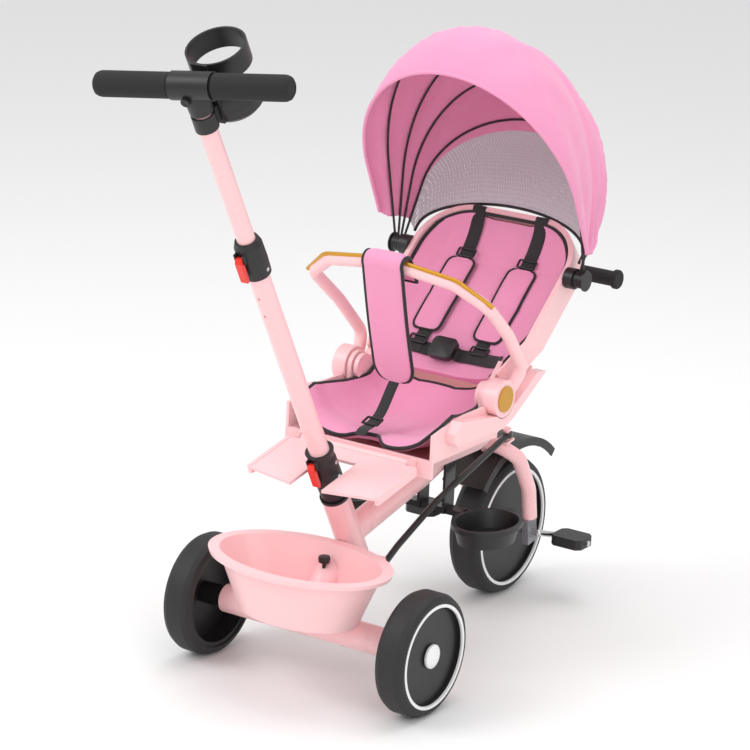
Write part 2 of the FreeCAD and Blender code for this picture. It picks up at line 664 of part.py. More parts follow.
def handlebar():
    """A stem that clamps on the steerer and leans forward, with a straight bar across its top."""
    top = local((0, size("wheelbase + 41"), 585), "crown")
    sleeve_low = size("steerer_length") - 24
    stem = bent_tube([(0, 0, sleeve_low + 12), (0, 0, sleeve_low + 60), tuple(top)], 50, 12)
    sleeve = Part.makeCylinder(size("steerer_radius") + 3.5, 44, V(0, 0, sleeve_low))
    reach = size("handlebar_half") - 3
    bar = Part.makeCylinder(size("handlebar_radius"), 2 * reach, top - V(reach, 0, 0), V(1, 0, 0))
    steerer = Part.makeCylinder(size("steerer_radius"), size("steerer_length"), V(0, 0, 0))
    shape = sleeve.fuse([stem, bar]).cut(steerer).removeSplitter()
    node("handlebar", formed("handlebar", shape, "crown"))
    grip = turned("bar_grip", "crown", [
        ("handlebar_half - 88", "handlebar_radius"), ("handlebar_half - 3", "handlebar_radius"),
        ("handlebar_half - 3", "0"), ("handlebar_half", "0"),
        ("handlebar_half", "handlebar_grip_radius + 2"), ("handlebar_half - 2", "handlebar_grip_radius + 3.5"),
        ("handlebar_half - 8", "handlebar_grip_radius + 3.5"), ("handlebar_half - 12", "handlebar_grip_radius"),
        ("handlebar_half - 80", "handlebar_grip_radius"), ("handlebar_half - 84", "handlebar_grip_radius + 3"),
        ("handlebar_half - 88", "handlebar_grip_radius + 3")],
        y=str(round(top.y, 3)), z=str(round(top.z, 3)))
    node("handlebar_grips", pair("handlebar_grips", grip))


def steering_rod():
    """Bent rod from the fork's lug back to the push bar's steering arm."""
    reach = size("arm_reach")
    front = local((reach, 8, 20), "ground", "crown")
    rear = local((reach, 0, size("-post_below - 24")), "ground", "pole")
    eye_front = Part.makeCylinder(9, 8, local((reach, 8, 16.5), "ground", "crown"), V(0, -math.sin(math.radians(
        size("head_lean"))), math.cos(math.radians(size("head_lean")))))
    eye_hole = Part.makeCylinder(4 + size("running_gap"), 30, local((reach, 8, 4), "ground", "crown"), V(0, -math.sin(math.radians(
        size("head_lean"))), math.cos(math.radians(size("head_lean")))))
    pole_up = V(0, -math.sin(math.radians(size("pole_lean"))), math.cos(math.radians(size("pole_lean"))))
    eye_rear = Part.makeCylinder(12, 8, rear - pole_up * 4, pole_up)
    rear_hole = Part.makeCylinder(8.0, 30, rear - pole_up * 15, pole_up)
    middle = [(reach, 168, 196), (reach, 275, 242)]
    rod = bent_tube([tuple(rear + V(0, 6, 2))] + middle + [tuple(front)], 150, size("rod_radius"))
    shape = rod.fuse([eye_front, eye_rear]).cut(eye_hole.fuse(rear_hole))
    shape = max(shape.Solids, key=lambda solid: solid.Volume).removeSplitter()
    node("steering_rod", formed("steering_rod", shape))


# ---------------------------------------------------------------- push bar
def push_bar():
    radius = size("lower_pole_radius")
    low = size("-post_below - 12")
    reach = size("arm_reach")
    tube = Part.makeCylinder(radius, size("lower_pole_top") - low, V(0, 0, low))
    tube = tube.cut(Part.makeCylinder(size("upper_pole_radius + slide_gap"), 900, V(0, 0, low + 6)))
    for height in (size("lower_pole_top") - 70, size("lower_pole_top") - 105):
        tube = tube.cut(Part.makeCylinder(2.5, 30, V(0, 0, height), V(0, -1, 0)))
    arm = Part.makeBox(reach + 8, 18, 6, V(0, -9, low))
    pin = Part.makeCylinder(4.0, 26, V(reach, 0, low - 24), V(0, 0, 1))
    foot = Part.makeCylinder(6.5, 2, V(reach, 0, low - 24), V(0, 0, 1))
    node("lower_pole", formed("lower_pole", tube.fuse([arm, pin, foot]).removeSplitter(), "pole"))

    inner = "lower_pole_radius"
    low_clamp = turned_up("low_clamp_body", "pole", [
        (inner, "post_above + 6"), (inner + " + 5", "post_above + 6"), (inner + " + 6.5", "40"),
        (inner + " + 6", "84"), (inner + " + 4.5", "92"), (inner + " + 7", "104"), (inner, "104")])
    low_boss = box("low_clamp_boss", "pole", ("-9", "9"), ("-(%s + 12)" % inner, "-" + inner), ("86", "102"))
    low_bore = cylinder("low_clamp_bore", "pole", inner, "140")
    low_slot = box("low_clamp_slot", "pole", ("-6.5", "6.5"), ("-(%s + 13)" % inner, "-(%s + 5.2)" % inner),
                   ("85", "103"))
    low_pin = cylinder("low_clamp_pin", "pole", "2", "18", "X", x="-9", y="-(%s + 9.4)" % inner, z="94")
    node("low_clamp", fuse("low_clamp", cut("low_clamp_cut", fuse("low_clamp_raw", low_clamp, low_boss),
                                            low_bore, low_slot), low_pin))

    top = "lower_pole_top"
    mid_clamp = turned_up("mid_clamp_body", "pole", [
        (inner, top + " - 30"), (inner + " + 5", top + " - 30"), (inner + " + 6", top + " - 6"),
        (inner + " + 5.5", top + " + 26"), ("upper_pole_radius + 4", top + " + 36"),
        ("upper_pole_radius + slide_gap", top + " + 36"), ("upper_pole_radius + slide_gap", top), (inner, top)])
    mid_boss = box("mid_clamp_boss", "pole", ("-9", "9"), ("-(%s + 12)" % inner, "-" + inner),
                   (top + " + 10", top + " + 26"))
    mid_bore = cylinder("mid_clamp_bore", "pole", inner, "60", z=top + " - 60")
    mid_slot = box("mid_clamp_slot", "pole", ("-6.5", "6.5"), ("-(%s + 13)" % inner, "-(%s + 5.2)" % inner),
                   (top + " + 9", top + " + 27"))
    mid_pin = cylinder("mid_clamp_pin", "pole", "2", "18", "X", x="-9", y="-(%s + 9.4)" % inner, z=top + " + 18")
    node("mid_clamp", fuse("mid_clamp", cut("mid_clamp_cut", fuse("mid_clamp_raw", mid_clamp, mid_boss),
                                            mid_bore, mid_slot), mid_pin))

    for label, pivot in (("low_clamp_lever", "94"), ("mid_clamp_lever", top + " + 18")):
        lever = plate(label + "_blade", "pole", "YZ_Plane", [
            ("-3", "2.5"), ("2", "2.5"), ("2.2", "-2.5"), ("-0.5", "-6"), ("-1.5", "-36"), ("-4", "-42"),
            ("-8", "-40"), ("-8", "-4")], "12", both_ways=True, y="-(%s + 9.4)" % inner, z=pivot)
        hole = cylinder(label + "_hole", "pole", "2 + running_gap", "40", "X", x="-20",
                        y="-(%s + 9.4)" % inner, z=pivot)
        node(label, cut(label, lever, hole))

    rivet = [cylinder("rivet_%d" % index, "pole", "3.2", "2.2", "X", x=x, y=y, z=z)
             for index, (x, y, z) in enumerate((
                 (inner + " + 4.6", "4", "80"), (inner + " + 5.0", "0", "54"), (inner + " + 4.6", "-5", "28"),
                 (inner + " + 4.4", "0", top + " - 18")))]
    clamps = group("rivet_seats", nodes["low_clamp"], nodes["mid_clamp"])
    node("clamp_rivets", cut("clamp_rivets", group("rivet_heads", *rivet), clamps))


def yawed(across, behind):
    """A place beside the push bar, turned with the handle, as its two formulas."""
    return ("(%s) * cos(handle_yaw) - (%s) * sin(handle_yaw)" % (across, behind),
            "(%s) * sin(handle_yaw) + (%s) * cos(handle_yaw)" % (across, behind))


def upper_push_bar():
    radius = "upper_pole_radius"
    low = "lower_pole_top - pole_overlap"
    tube = cylinder("upper_tube", "pole", radius, "handle_height - 25 - (%s)" % low, z=low)
    bore = cylinder("upper_bore", "pole", "upper_pole_radius - pole_wall", "handle_height", z=low + " - 1")
    node("upper_pole", cut("upper_pole", tube, bore))

    body = turned("hub_body", "pole", [
        ("-hub_half", "0"), ("hub_half", "0"), ("hub_half", "hub_radius"), ("-hub_half", "hub_radius")],
        z="handle_height", axis="handle")
    neck = turned_up("hub_neck", "pole", [
        ("0", "handle_height - 46"), ("upper_pole_radius + 3.5", "handle_height - 46"),
        ("upper_pole_radius + 5", "handle_height - 26"), ("upper_pole_radius + 5", "handle_height"),
        ("0", "handle_height")])
    socket = cylinder("hub_socket", "pole", radius, "21", z="handle_height - 46")
    across, behind = yawed("-6", "-(hub_radius + 4)")
    pocket = cylinder("button_pocket", "pole", "7 + running_gap * 4", "20", "handle_press_bore",
                      x=across, y=behind, z="handle_height - 12")
    spine_clear = box("hub_spine_clear", "pole", ("-14.4", "14.4"),
                      ("cup_behind - cup_radius - 1.4", "cup_behind - cup_radius + 8"),
                      ("handle_height - 60", "handle_height + 30"))
    stubs = turned("hub_stubs", "pole", [
        ("-(handle_half - 4)", "0"), ("handle_half - 4", "0"), ("handle_half - 4", "11"), ("-(handle_half - 4)", "11")],
        z="handle_height", axis="handle")
    node("handle_hub", cut("handle_hub", fuse("hub_raw", body, neck, stubs), socket, pocket, spine_clear))

    grips = []
    for side in (1, -1):
        grips.append(turned("handle_grip_%d" % (side + 1), "pole", [("%d * (%s)" % (side, x), r) for x, r in (
            ("hub_half", "11"), ("handle_half - 4", "11"), ("handle_half - 4", "0"), ("handle_half - 1", "0"),
            ("handle_half - 1", "12"), ("handle_half", "13"), ("handle_half - 3", "grip_radius - 2.5"),
            ("handle_half - 8", "grip_radius - 0.5"), ("handle_half - 12", "grip_radius"),
            ("hub_half + 4", "grip_radius"), ("hub_half", "grip_radius - 2"))], z="handle_height", axis="handle"))
    node("handle_grips", group("handle_grips", *grips))

    across, behind = yawed("-6", "-(hub_radius - 7)")
    node("release_button", turned("release_button", "pole", [
        ("0", "0"), ("11", "0"), ("12", "5"), ("11", "7"), ("0", "7")],
        x=across, y=behind, z="handle_height - 12", axis="handle_press"))

    ring_top = "handle_height + 20"
    ring = turned_up("cup_ring", "pole", [
        ("cup_radius - cup_wall", ring_top + " - cup_ring_height"), ("cup_radius", ring_top + " - cup_ring_height"),
        ("cup_radius", ring_top), ("cup_radius - cup_wall", ring_top)], y="cup_behind")
    dish_low = "(%s - cup_height)" % ring_top
    dish = turned_up("cup_dish", "pole", [
        ("0", dish_low), ("cup_radius - 10", dish_low), ("cup_radius - 2", dish_low + " + 8"),
        ("cup_radius - 1", dish_low + " + cup_dish_height"),
        ("cup_radius - 1 - cup_wall", dish_low + " + cup_dish_height"),
        ("cup_radius - 2 - cup_wall", dish_low + " + 9"), ("cup_radius - 12", dish_low + " + cup_wall"),
        ("0", dish_low + " + cup_wall")], y="cup_behind")
    spine = box("cup_spine", "pole", ("-14", "14"), ("cup_behind - cup_radius - 1", "cup_behind - cup_radius + 3.5"),
                (dish_low + " + 8", ring_top))
    clip = cylinder("cup_clip", "pole", "upper_pole_radius + 4", "26", z="handle_height - 76")
    clip_bore = cylinder("cup_clip_bore", "pole", "upper_pole_radius", "60", z="handle_height - 100")
    bridge = box("cup_bridge", "pole", ("-11", "11"), ("upper_pole_radius - 4", "cup_behind - cup_radius + 4"),
                 ("handle_height - 76", "handle_height - 50"))
    inside = cylinder("cup_inside", "pole", "cup_radius - cup_wall + 1", "200", y="cup_behind",
                      z=dish_low + " + cup_dish_height - 2")
    grow = cut("cup_arm", fuse("cup_arm_raw", spine, clip, bridge), inside, clip_bore)
    node("cup_holder", fuse("cup_holder", ring, dish, grow))


# ---------------------------------------------------------------- seat
def channel_section(half, low, top, wall, y):
    """A U outline in a plane across the tricycle."""
    corner = 26
    outer = [(-half, top), (-half, low + corner), (-half + corner, low), (half - corner, low),
             (half, low + corner), (half, top)]
    inner = [(half - wall, top), (half - wall, low + corner + 2), (half - corner - 2, low + wall),
             (-half + corner + 2, low + wall), (-half + wall, low + corner + 2), (-half + wall, top)]
    points = [V(x, y, z) for x, z in outer + inner]
    return Part.makePolygon(points + points[:1])


def seat_base():
    """Seat shell: a trough with thick side rails, ears for the bar, and a raised tail."""
    half = size("seat_half - 18")
    low = size("pan_low")
    top = size("rail_top")
    wall = size("shell_wall")
    front = size("seat_front + 34")
    sections = [channel_section(half, low, top - 14, wall, front),
                channel_section(half, low, top, wall, 180),
                channel_section(half, low, top, wall, 290),
                channel_section(half - 4, low + 24, top + 8, wall, 350),
                channel_section(half - 8, low + 66, top + 34, wall, 416)]
    trough = Part.makeLoft(sections, True, True)
    shapes = [trough]
    for side in (1, -1):
        rail_x = sorted((side * size("seat_half"), side * (half - 2)))
        rail = Part.makePolygon([V(rail_x[0], y, z) for y, z in (
            (size("rail_front"), size("rail_low + 10")), (size("rail_front + 12"), size("rail_low")),
            (292, size("rail_low")), (322, size("rail_low + 12")), (418, size("rail_top + 30")),
            (392, size("rail_top + 34")), (330, size("rail_top - 2")), (size("hinge_y"), size("rail_top - 18")),
            (size("rail_front + 20"), size("rail_top")), (size("rail_front"), size("rail_top - 16")),
            (size("rail_front"), size("rail_low + 10")))])
        shapes.append(Part.Face(rail).extrude(V(rail_x[1] - rail_x[0], 0, 0)))
    apron = Part.makeBox(2 * half, wall + 1, 30, V(-half, front - 1, low))
    shapes.append(apron)
    peg = Part.makeCylinder(20, low + 3 - 312, V(0, 300, 312))
    flange = Part.makeCylinder(50, low + 1 - size("pan_low - 5.5"), V(0, 300, size("pan_low - 5.5")))
    shapes += [peg, flange]
    whole = shapes[0].fuse(shapes[1:])
    disc_clear = Part.makeCylinder(size("disc_radius") + 1.5, 60, V(size("seat_half - disc_width - 1"),
                                   size("hinge_y"), size("hinge_z")), V(1, 0, 0))
    disc_left = disc_clear.mirror(V(0, 0, 0), V(1, 0, 0))
    whole = whole.cut(disc_clear.fuse(disc_left))
    for side in (1, -1):
        ear_x = sorted((side * size("seat_half - disc_width - 1.5"), side * size("seat_half - disc_width - 9.5")))
        ear = Part.makeCylinder(26, ear_x[1] - ear_x[0], V(ear_x[0], size("hinge_y"), size("hinge_z")), V(1, 0, 0))
        web = Part.makeBox(ear_x[1] - ear_x[0], 52, size("hinge_z") - size("pan_low") - 20,
                           V(ear_x[0], size("hinge_y") - 26, size("pan_low") + 20))
        pin_x = sorted((side * size("seat_half - 2"), side * size("seat_half - disc_width - 21")))
        pin = Part.makeCylinder(8, pin_x[1] - pin_x[0], V(pin_x[0], size("hinge_y"), size("hinge_z")), V(1, 0, 0))
        whole = whole.fuse([ear, web, pin])
    knuckle_y = size("leg_hinge_y")
    knuckle_z = size("leg_hinge_z")
    for side in (1, -1):
        lug_x = sorted((side * 104, side * 113))
        lug = Part.makeBox(9, 18, 14, V(lug_x[0], knuckle_y - 7, knuckle_z - 7))
        whole = whole.fuse(lug)
    rod = Part.makeCylinder(3, 2 * 106, V(-106, knuckle_y, knuckle_z), V(1, 0, 0))
    whole = whole.fuse(rod).removeSplitter()
    node("seat_shell", formed("seat_shell", whole))

    pad_half = half - 38
    pad_low = low + wall + 0.5
    seat_pad = Part.makePolygon([V(-pad_half, y, z) for y, z in (
        (front + 8, pad_low), (288, pad_low), (326, 384), (320, 400), (296, 384), (250, 377), (180, 379),
        (130, 390), (front + 8, 388), (front + 8, pad_low))])
    node("seat_pad", formed("seat_pad", Part.Face(seat_pad).extrude(V(2 * pad_half, 0, 0))))


def leg_rest():
    """Two footboards in one moulding, with a slot between them for the pole."""
    end = "-(leg_rest_length + 10)"
    board = plate("leg_board", "leg_rest", "XY_Plane", [
        ("-leg_rest_half", "-10"), ("-leg_rest_half", "-(leg_rest_length - 6)"), ("-leg_slot_half", end),
        ("-leg_slot_half", "-40"), ("leg_slot_half", "-40"), ("leg_slot_half", end),
        ("leg_rest_half", "-(leg_rest_length - 6)"), ("leg_rest_half", "-10")], "5", start="-3")
    edge = box("leg_edge", "leg_rest", ("leg_rest_half - 7", "leg_rest_half"), ("-(leg_rest_length - 8)", "-10"),
               ("-12", "3"))
    barrel = cylinder("leg_barrel", "leg_rest", "6.5", "206", "X", x="-103")
    tongue = box("leg_tongue", "leg_rest", ("-103", "103"), ("-12", "-3"), ("-3", "2"))
    bore = cylinder("leg_bore", "leg_rest", "3 + running_gap", "300", "X", x="-150")
    node("leg_rest", cut("leg_rest", fuse("leg_rest_raw", board, edge, mirrored("leg_edge_left", edge), barrel,
                                         tongue), bore))


def backrest():
    """Backrest shell: a shallow tray with rounded top corners, and ears at the hinge."""
    half = size("backrest_half")
    height = size("backrest_height")
    deep = size("backrest_depth")
    wall = size("shell_wall")

    def tray(inset, start, low, depth):
        corner = 92 - inset
        h = half - inset
        t = height - inset
        slope = 26
        points = [V(-h + slope, start, low), V(-h, start, low + 90), V(-h, start, t - corner)]
        left = Part.Arc(points[-1], V(-h + corner * 0.293, start, t - corner * 0.293), V(-h + corner, start, t))
        right = Part.Arc(V(h - corner, start, t), V(h - corner * 0.293, start, t - corner * 0.293),
                         V(h, start, t - corner))
        edges = [Part.LineSegment(points[0], points[1]), Part.LineSegment(points[1], points[2]), left,
                 Part.LineSegment(V(-h + corner, start, t), V(h - corner, start, t)), right,
                 Part.LineSegment(V(h, start, t - corner), V(h, start, low + 90)),
                 Part.LineSegment(V(h, start, low + 90), V(h - slope, start, low)),
                 Part.LineSegment(V(h - slope, start, low), points[0])]
        return Part.Face(Part.Wire([edge.toShape() for edge in edges])).extrude(V(0, depth, 0))

    shell = tray(0, -8, 38, deep + 8).cut(tray(wall + 4, -9, 20, deep + 9 - wall))
    for side in (1, -1):
        low_x = size("seat_half - disc_width - 20")
        ear_x = sorted((side * low_x, side * (low_x + 8)))
        ear = Part.makeCylinder(22, 8, V(ear_x[0], 0, 0), V(1, 0, 0))
        arm = Part.makeBox(8, 26, 66, V(ear_x[0], -2, 0))
        hole = Part.makeCylinder(8 + size("running_gap"), 40, V(ear_x[0] - 10, 0, 0), V(1, 0, 0))
        shell = shell.fuse([ear, arm]).cut(hole)
    node("backrest_shell", formed("backrest_shell", shell.removeSplitter(), "backrest"))

    pad_half = half - wall - 14
    pad = Part.makePolygon([V(x, 8, z) for x, z in (
        (-pad_half + 32, 50), (pad_half - 32, 50), (pad_half, 120), (pad_half, height - 92),
        (pad_half - 38, height - 46), (pad_half - 84, height - 20), (-pad_half + 84, height - 20),
        (-pad_half + 38, height - 46), (-pad_half, height - 92), (-pad_half, 120), (-pad_half + 32, 50))])
    node("back_pad", formed("back_pad", Part.Face(pad).extrude(V(0, deep - wall - 8.4, 0)), "backrest"))

    solids = []
    for side in (1, -1):
        strap = Part.makeBox(25, 1.8, 285, V(side * 62 - 12.5, 5.4, 46))
        cushion = Part.makeBox(44, 9, 120, V(side * 62 - 22, -4.4, 96))
        solids += [strap, cushion]
    node("shoulder_harness", formed("shoulder_harness", Part.makeCompound(solids), "backrest"))

    hub_x = "backrest_half + 0.4"
    solid = turned("canopy_hub_solid", "hub", [
        (hub_x, "0"), (hub_x + " + 37", "0"), (hub_x + " + 37", "canopy_hub_radius"),
        (hub_x + " + 34.9", "canopy_hub_radius"), (hub_x + " + 34.9", "hub_pin_radius"),
        (hub_x + " + 17", "hub_pin_radius"), (hub_x + " + 17", "canopy_hub_radius"),
        (hub_x, "canopy_hub_radius")])
    node("canopy_hubs", pair("canopy_hubs", solid))


def bumper():
    """Grab bar: an arch with round ends on the hinge, gold inlays and a soft pad."""
    half = size("bumper_half")
    high = size("bumper_height")
    radius = size("bumper_bar_radius")
    boss_x = size("seat_half - disc_width / 2")
    rise = [(boss_x, 0, 0), (boss_x + 4.5, 40, -5), (half - 11, 66, 12), (half - 4, 43, 102), (half, 8, high - 65),
            (half - 49, 2, high - 23), (0, -2, high)]
    path = rise + [(-x, y, z) for x, y, z in reversed(rise[:-1])]
    wire = rounded_path(path, 34)
    bar = swept(wire, round_section(wire, radius))
    shapes = []
    for side in (1, -1):
        start = sorted((side * size("seat_half"), side * size("seat_half - disc_width")))[0]
        shapes.append(Part.makeCylinder(size("disc_radius"), size("disc_width"), V(start, 0, 0), V(1, 0, 0)))
    whole = bar.fuse(shapes)
    bore = Part.makeCylinder(8 + size("running_gap"), 2 * size("seat_half - 1.8"),
                             V(-size("seat_half - 1.8"), 0, 0), V(1, 0, 0))
    inside = Part.makeCylinder(size("disc_radius") - 4, 2 * size("seat_half - disc_width"),
                               V(-size("seat_half - disc_width"), 0, 0), V(1, 0, 0))
    whole = whole.cut(bore.fuse(inside)).removeSplitter()
    node("bumper_bar", formed("bumper_bar", whole, "bumper"))

    proud = radius + 0.2
    grown = [(half + 0.9 * proud, 8, high - 62), (half - 46 + 0.5 * proud, 2, high - 23 + 0.88 * proud),
             (0, -2, high + proud)]
    grown = grown + [(-x, y, z) for x, y, z in reversed(grown[:-1])]
    inlay = bent_tube(grown, 34, 3.6).cut(whole)
    inlay = max(inlay.Solids, key=lambda solid: solid.Volume)
    medals = [Part.makeCylinder(21.6, 2.6, V(side * size("seat_half + 0.05") - (2.6 if side < 0 else 0), 0, 0),
                                V(1, 0, 0)) for side in (1, -1)]
    node("bumper_gold_trim", formed("bumper_gold_trim", Part.makeCompound([inlay] + medals), "bumper"))

    # the pad hangs in front of the arch from its top, on a slant of its own
    tilt = math.radians(size("bumper_lean") - 15)
    drop = V(0, -math.sin(tilt), -math.cos(tilt)) * 222
    across = V(0, -math.cos(tilt), math.sin(tilt)) * 9
    top_edge = V(-38, -radius - 2, high + 6)
    slab = Part.Face(Part.makePolygon([top_edge, top_edge + drop, top_edge + drop + across, top_edge + across,
                                       top_edge])).extrude(V(76, 0, 0))
    node("bumper_pad", formed("bumper_pad", slab, "bumper"))


# ---------------------------------------------------------------- canopy
# name, angle, reach from the hubs, eye's place outward, height of the straight legs
BOWS = (("front", 103.0, 411.0, 30.6, 150.0), ("second", 87.0, 367.0, 26.4, 122.0),
        ("third", 75.5, 312.0, 22.2, 112.0), ("rear", 60.0, 255.0, 18.0, 114.0))


def bow_half(step):
    return size("backrest_half") + step + 1.6


def arch_points(half, straight, high, count=17):
    """Upper half of an ellipse standing on two straight legs."""
    return [V(half * math.cos(math.pi * i / (count - 1)), 0,
              straight + (high - straight) * math.sin(math.pi * i / (count - 1))) for i in range(count)]


def arch_curve(half, straight, high):
    curve = Part.BSplineCurve()
    curve.interpolate(arch_points(half, straight, high))
    return curve


def bow_wire(half, low, straight, high):
    return Part.Wire([Part.LineSegment(V(half, 0, low), V(half, 0, straight)).toShape(),
                      arch_curve(half, straight, high).toShape(),
                      Part.LineSegment(V(-half, 0, straight), V(-half, 0, low)).toShape()])


def band_wire(half, low, straight, high, angle, near, far):
    """A thin closed arch at a fan angle, between two distances outside a bow."""
    outer = bow_wire(half + far, low, straight, high + far)
    inner = bow_wire(half + near, low, straight, high + near)
    edges = list(outer.Edges) + [Part.LineSegment(V(-half - far, 0, low), V(-half - near, 0, low)).toShape()]
    edges += list(inner.Edges) + [Part.LineSegment(V(half + near, 0, low), V(half + far, 0, low)).toShape()]
    wire = Part.Wire(Part.__sortEdges__(edges))
    wire.rotate(V(0, 0, 0), V(1, 0, 0), angle - 90)
    return wire


def canopy():
    near = size("bow_radius + curved_gap")
    far = near + size("fabric_thickness")
    for name, angle, high, step, straight in BOWS:
        half = bow_half(step)
        bow = swept(bow_wire(half, 12, straight, high), Part.Wire(
            Part.Circle(V(half, 0, 12), V(0, 0, 1), size("bow_radius")).toShape()))
        eyes = []
        for side in (1, -1):
            eye = Part.makeCylinder(14, 3.6, V(side * half - 1.8, 0, 0), V(1, 0, 0))
            eyes.append(eye)
        hole = Part.makeCylinder(size("hub_pin_radius + running_gap"), 600, V(-300, 0, 0), V(1, 0, 0))
        trim = Part.makeBox(2 * half - 3.6, 40, 26, V(-half + 1.8, -20, -12)).fuse([
            Part.makeBox(8, 40, 26, V(half + 1.8, -20, -12)), Part.makeBox(8, 40, 26, V(-half - 9.8, -20, -12))])
        shape = bow.cut(trim).fuse(eyes).cut(hole)
        shape = max(shape.Solids, key=lambda solid: solid.Volume).removeSplitter()
        node("canopy_bow_" + name, formed("canopy_bow_" + name, shape, "hub", spin=angle - 90))

    def band(row, turn=0.0, wider=0.0, higher=0.0, low=46):
        _, angle, high, step, straight = BOWS[row]
        return band_wire(bow_half(step) + wider, low, straight, high + higher, angle + turn, near, far)

    # each panel's bands, from its front edge back; a band between two bows stands out as a puff
    visor = band(0, turn=12.0, wider=18, higher=-26, low=60)
    sheets = {
        "canopy_front_panel": [visor, band(0), band(1, turn=0.2)],
        "canopy_middle_panel": [band(1), band(2, turn=5.5, wider=6, higher=34), band(2, turn=0.2)],
        "canopy_rear_panel": [band(2), band(2, turn=-9.0, wider=10, higher=8), band(3, turn=0.2)],
        "canopy_mesh_window": [band(3, turn=-2.0), band_wire(size("backrest_half") + 6, 30, 40,
                                                  size("backrest_height - hub_height") + 8,
                                                  90 - size("backrest_lean") + 3, 2, 5)],
    }
    for label, wires in sheets.items():
        node(label, formed(label, Part.makeLoft(wires, True, True), "hub"))


# ---------------------------------------------------------------- build and write
for build in (rear_axle, frame_tubes, bushings, seat_socket, footrest_bracket, footrests, basket, rear_wheels,
              front_wheel, cranks, fork, handlebar, steering_rod, push_bar, upper_push_bar, seat_base, leg_rest,
              backrest, bumper, canopy):
    build()
doc.recompute()

for thing in doc.Objects:
    if "Invalid" in thing.State or "Error" in thing.State:
        raise RuntimeError("failed object: %s %s" % (thing.Label, thing.State))
for label, thing in nodes.items():
    if thing.Shape.isNull() or not thing.Shape.isValid():
        raise RuntimeError("bad shape: " + label)

os.makedirs("parts", exist_ok=True)
for label, thing in nodes.items():
    thing.Shape.exportStep("parts/%s.step" % label)

box_all = Part.makeCompound([thing.Shape for thing in nodes.values()]).BoundBox
print(len(nodes), "nodes, box", box_all)
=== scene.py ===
import json
import math

import bmesh
import bpy
import numpy as np
from mathutils import Matrix, Vector


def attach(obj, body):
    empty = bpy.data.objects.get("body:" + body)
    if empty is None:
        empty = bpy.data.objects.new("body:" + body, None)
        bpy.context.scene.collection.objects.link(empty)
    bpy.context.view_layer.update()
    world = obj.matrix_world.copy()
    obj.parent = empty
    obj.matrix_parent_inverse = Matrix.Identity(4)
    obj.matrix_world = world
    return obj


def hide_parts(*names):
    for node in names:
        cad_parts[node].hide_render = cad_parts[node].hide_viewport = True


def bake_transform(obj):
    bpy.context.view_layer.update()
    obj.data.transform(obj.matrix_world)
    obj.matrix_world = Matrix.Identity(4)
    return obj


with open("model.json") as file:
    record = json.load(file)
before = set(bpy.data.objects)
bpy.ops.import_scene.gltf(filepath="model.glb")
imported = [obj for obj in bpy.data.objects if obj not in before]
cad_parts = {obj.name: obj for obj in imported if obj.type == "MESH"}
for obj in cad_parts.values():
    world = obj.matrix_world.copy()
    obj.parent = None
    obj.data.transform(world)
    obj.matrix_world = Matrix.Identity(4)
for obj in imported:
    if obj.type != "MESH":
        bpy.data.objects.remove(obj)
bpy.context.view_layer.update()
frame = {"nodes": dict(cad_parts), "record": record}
NODES = frame["nodes"]

AXLE_Y = -0.13858                 # rear axle in the row frame
MM = 0.001


# ---------------------------------------------------------------- frames
def turn_x(degrees):
    a = math.radians(degrees)
    return np.array([[1, 0, 0], [0, math.cos(a), -math.sin(a)], [0, math.sin(a), math.cos(a)]])


def frame_of(y, z, lean):
    """A leaning frame's points, in millimetres, turned into row-frame metres."""
    rotation = turn_x(lean)

    def convert(points):
        points = np.asarray(points, float)
        return (points @ rotation.T + np.array([0, y, z])) * MM + np.array([0, AXLE_Y, 0])
    return convert


ground = frame_of(0, 0, 0)
HINGE_Y, HINGE_Z = 290, 441       # the backrest and the grab bar turn about this line
BACK_LEAN = 48.3
HUB_REACH = 250.7                 # from that line up the backrest to the canopy's hubs
back = frame_of(HINGE_Y, HINGE_Z, -BACK_LEAN)
bumper_frame = frame_of(HINGE_Y, HINGE_Z, 28.5)
HUB_Y = HINGE_Y + HUB_REACH * math.sin(math.radians(BACK_LEAN))
HUB_Z = HINGE_Z + HUB_REACH * math.cos(math.radians(BACK_LEAN))
hub = frame_of(HUB_Y, HUB_Z, 0)


# ---------------------------------------------------------------- shader words
class Sock:
    """A shader value with ordinary arithmetic."""

    def __init__(self, tree, socket):
        self.tree = tree
        self.socket = socket

    def op(self, kind, *others):
        made = self.tree.nodes.new("ShaderNodeMath")
        made.operation = kind
        for place, value in enumerate((self,) + others):
            if isinstance(value, Sock):
                self.tree.links.new(value.socket, made.inputs[place])
            else:
                made.inputs[place].default_value = value
        return Sock(self.tree, made.outputs[0])

    def __add__(self, other):
        return self.op("ADD", other)

    def __sub__(self, other):
        return self.op("SUBTRACT", other)

    def __mul__(self, other):
        return self.op("MULTIPLY", other)

    def above(self, limit):
        return self.op("GREATER_THAN", limit)

    def frac(self):
        return self.op("FRACT")


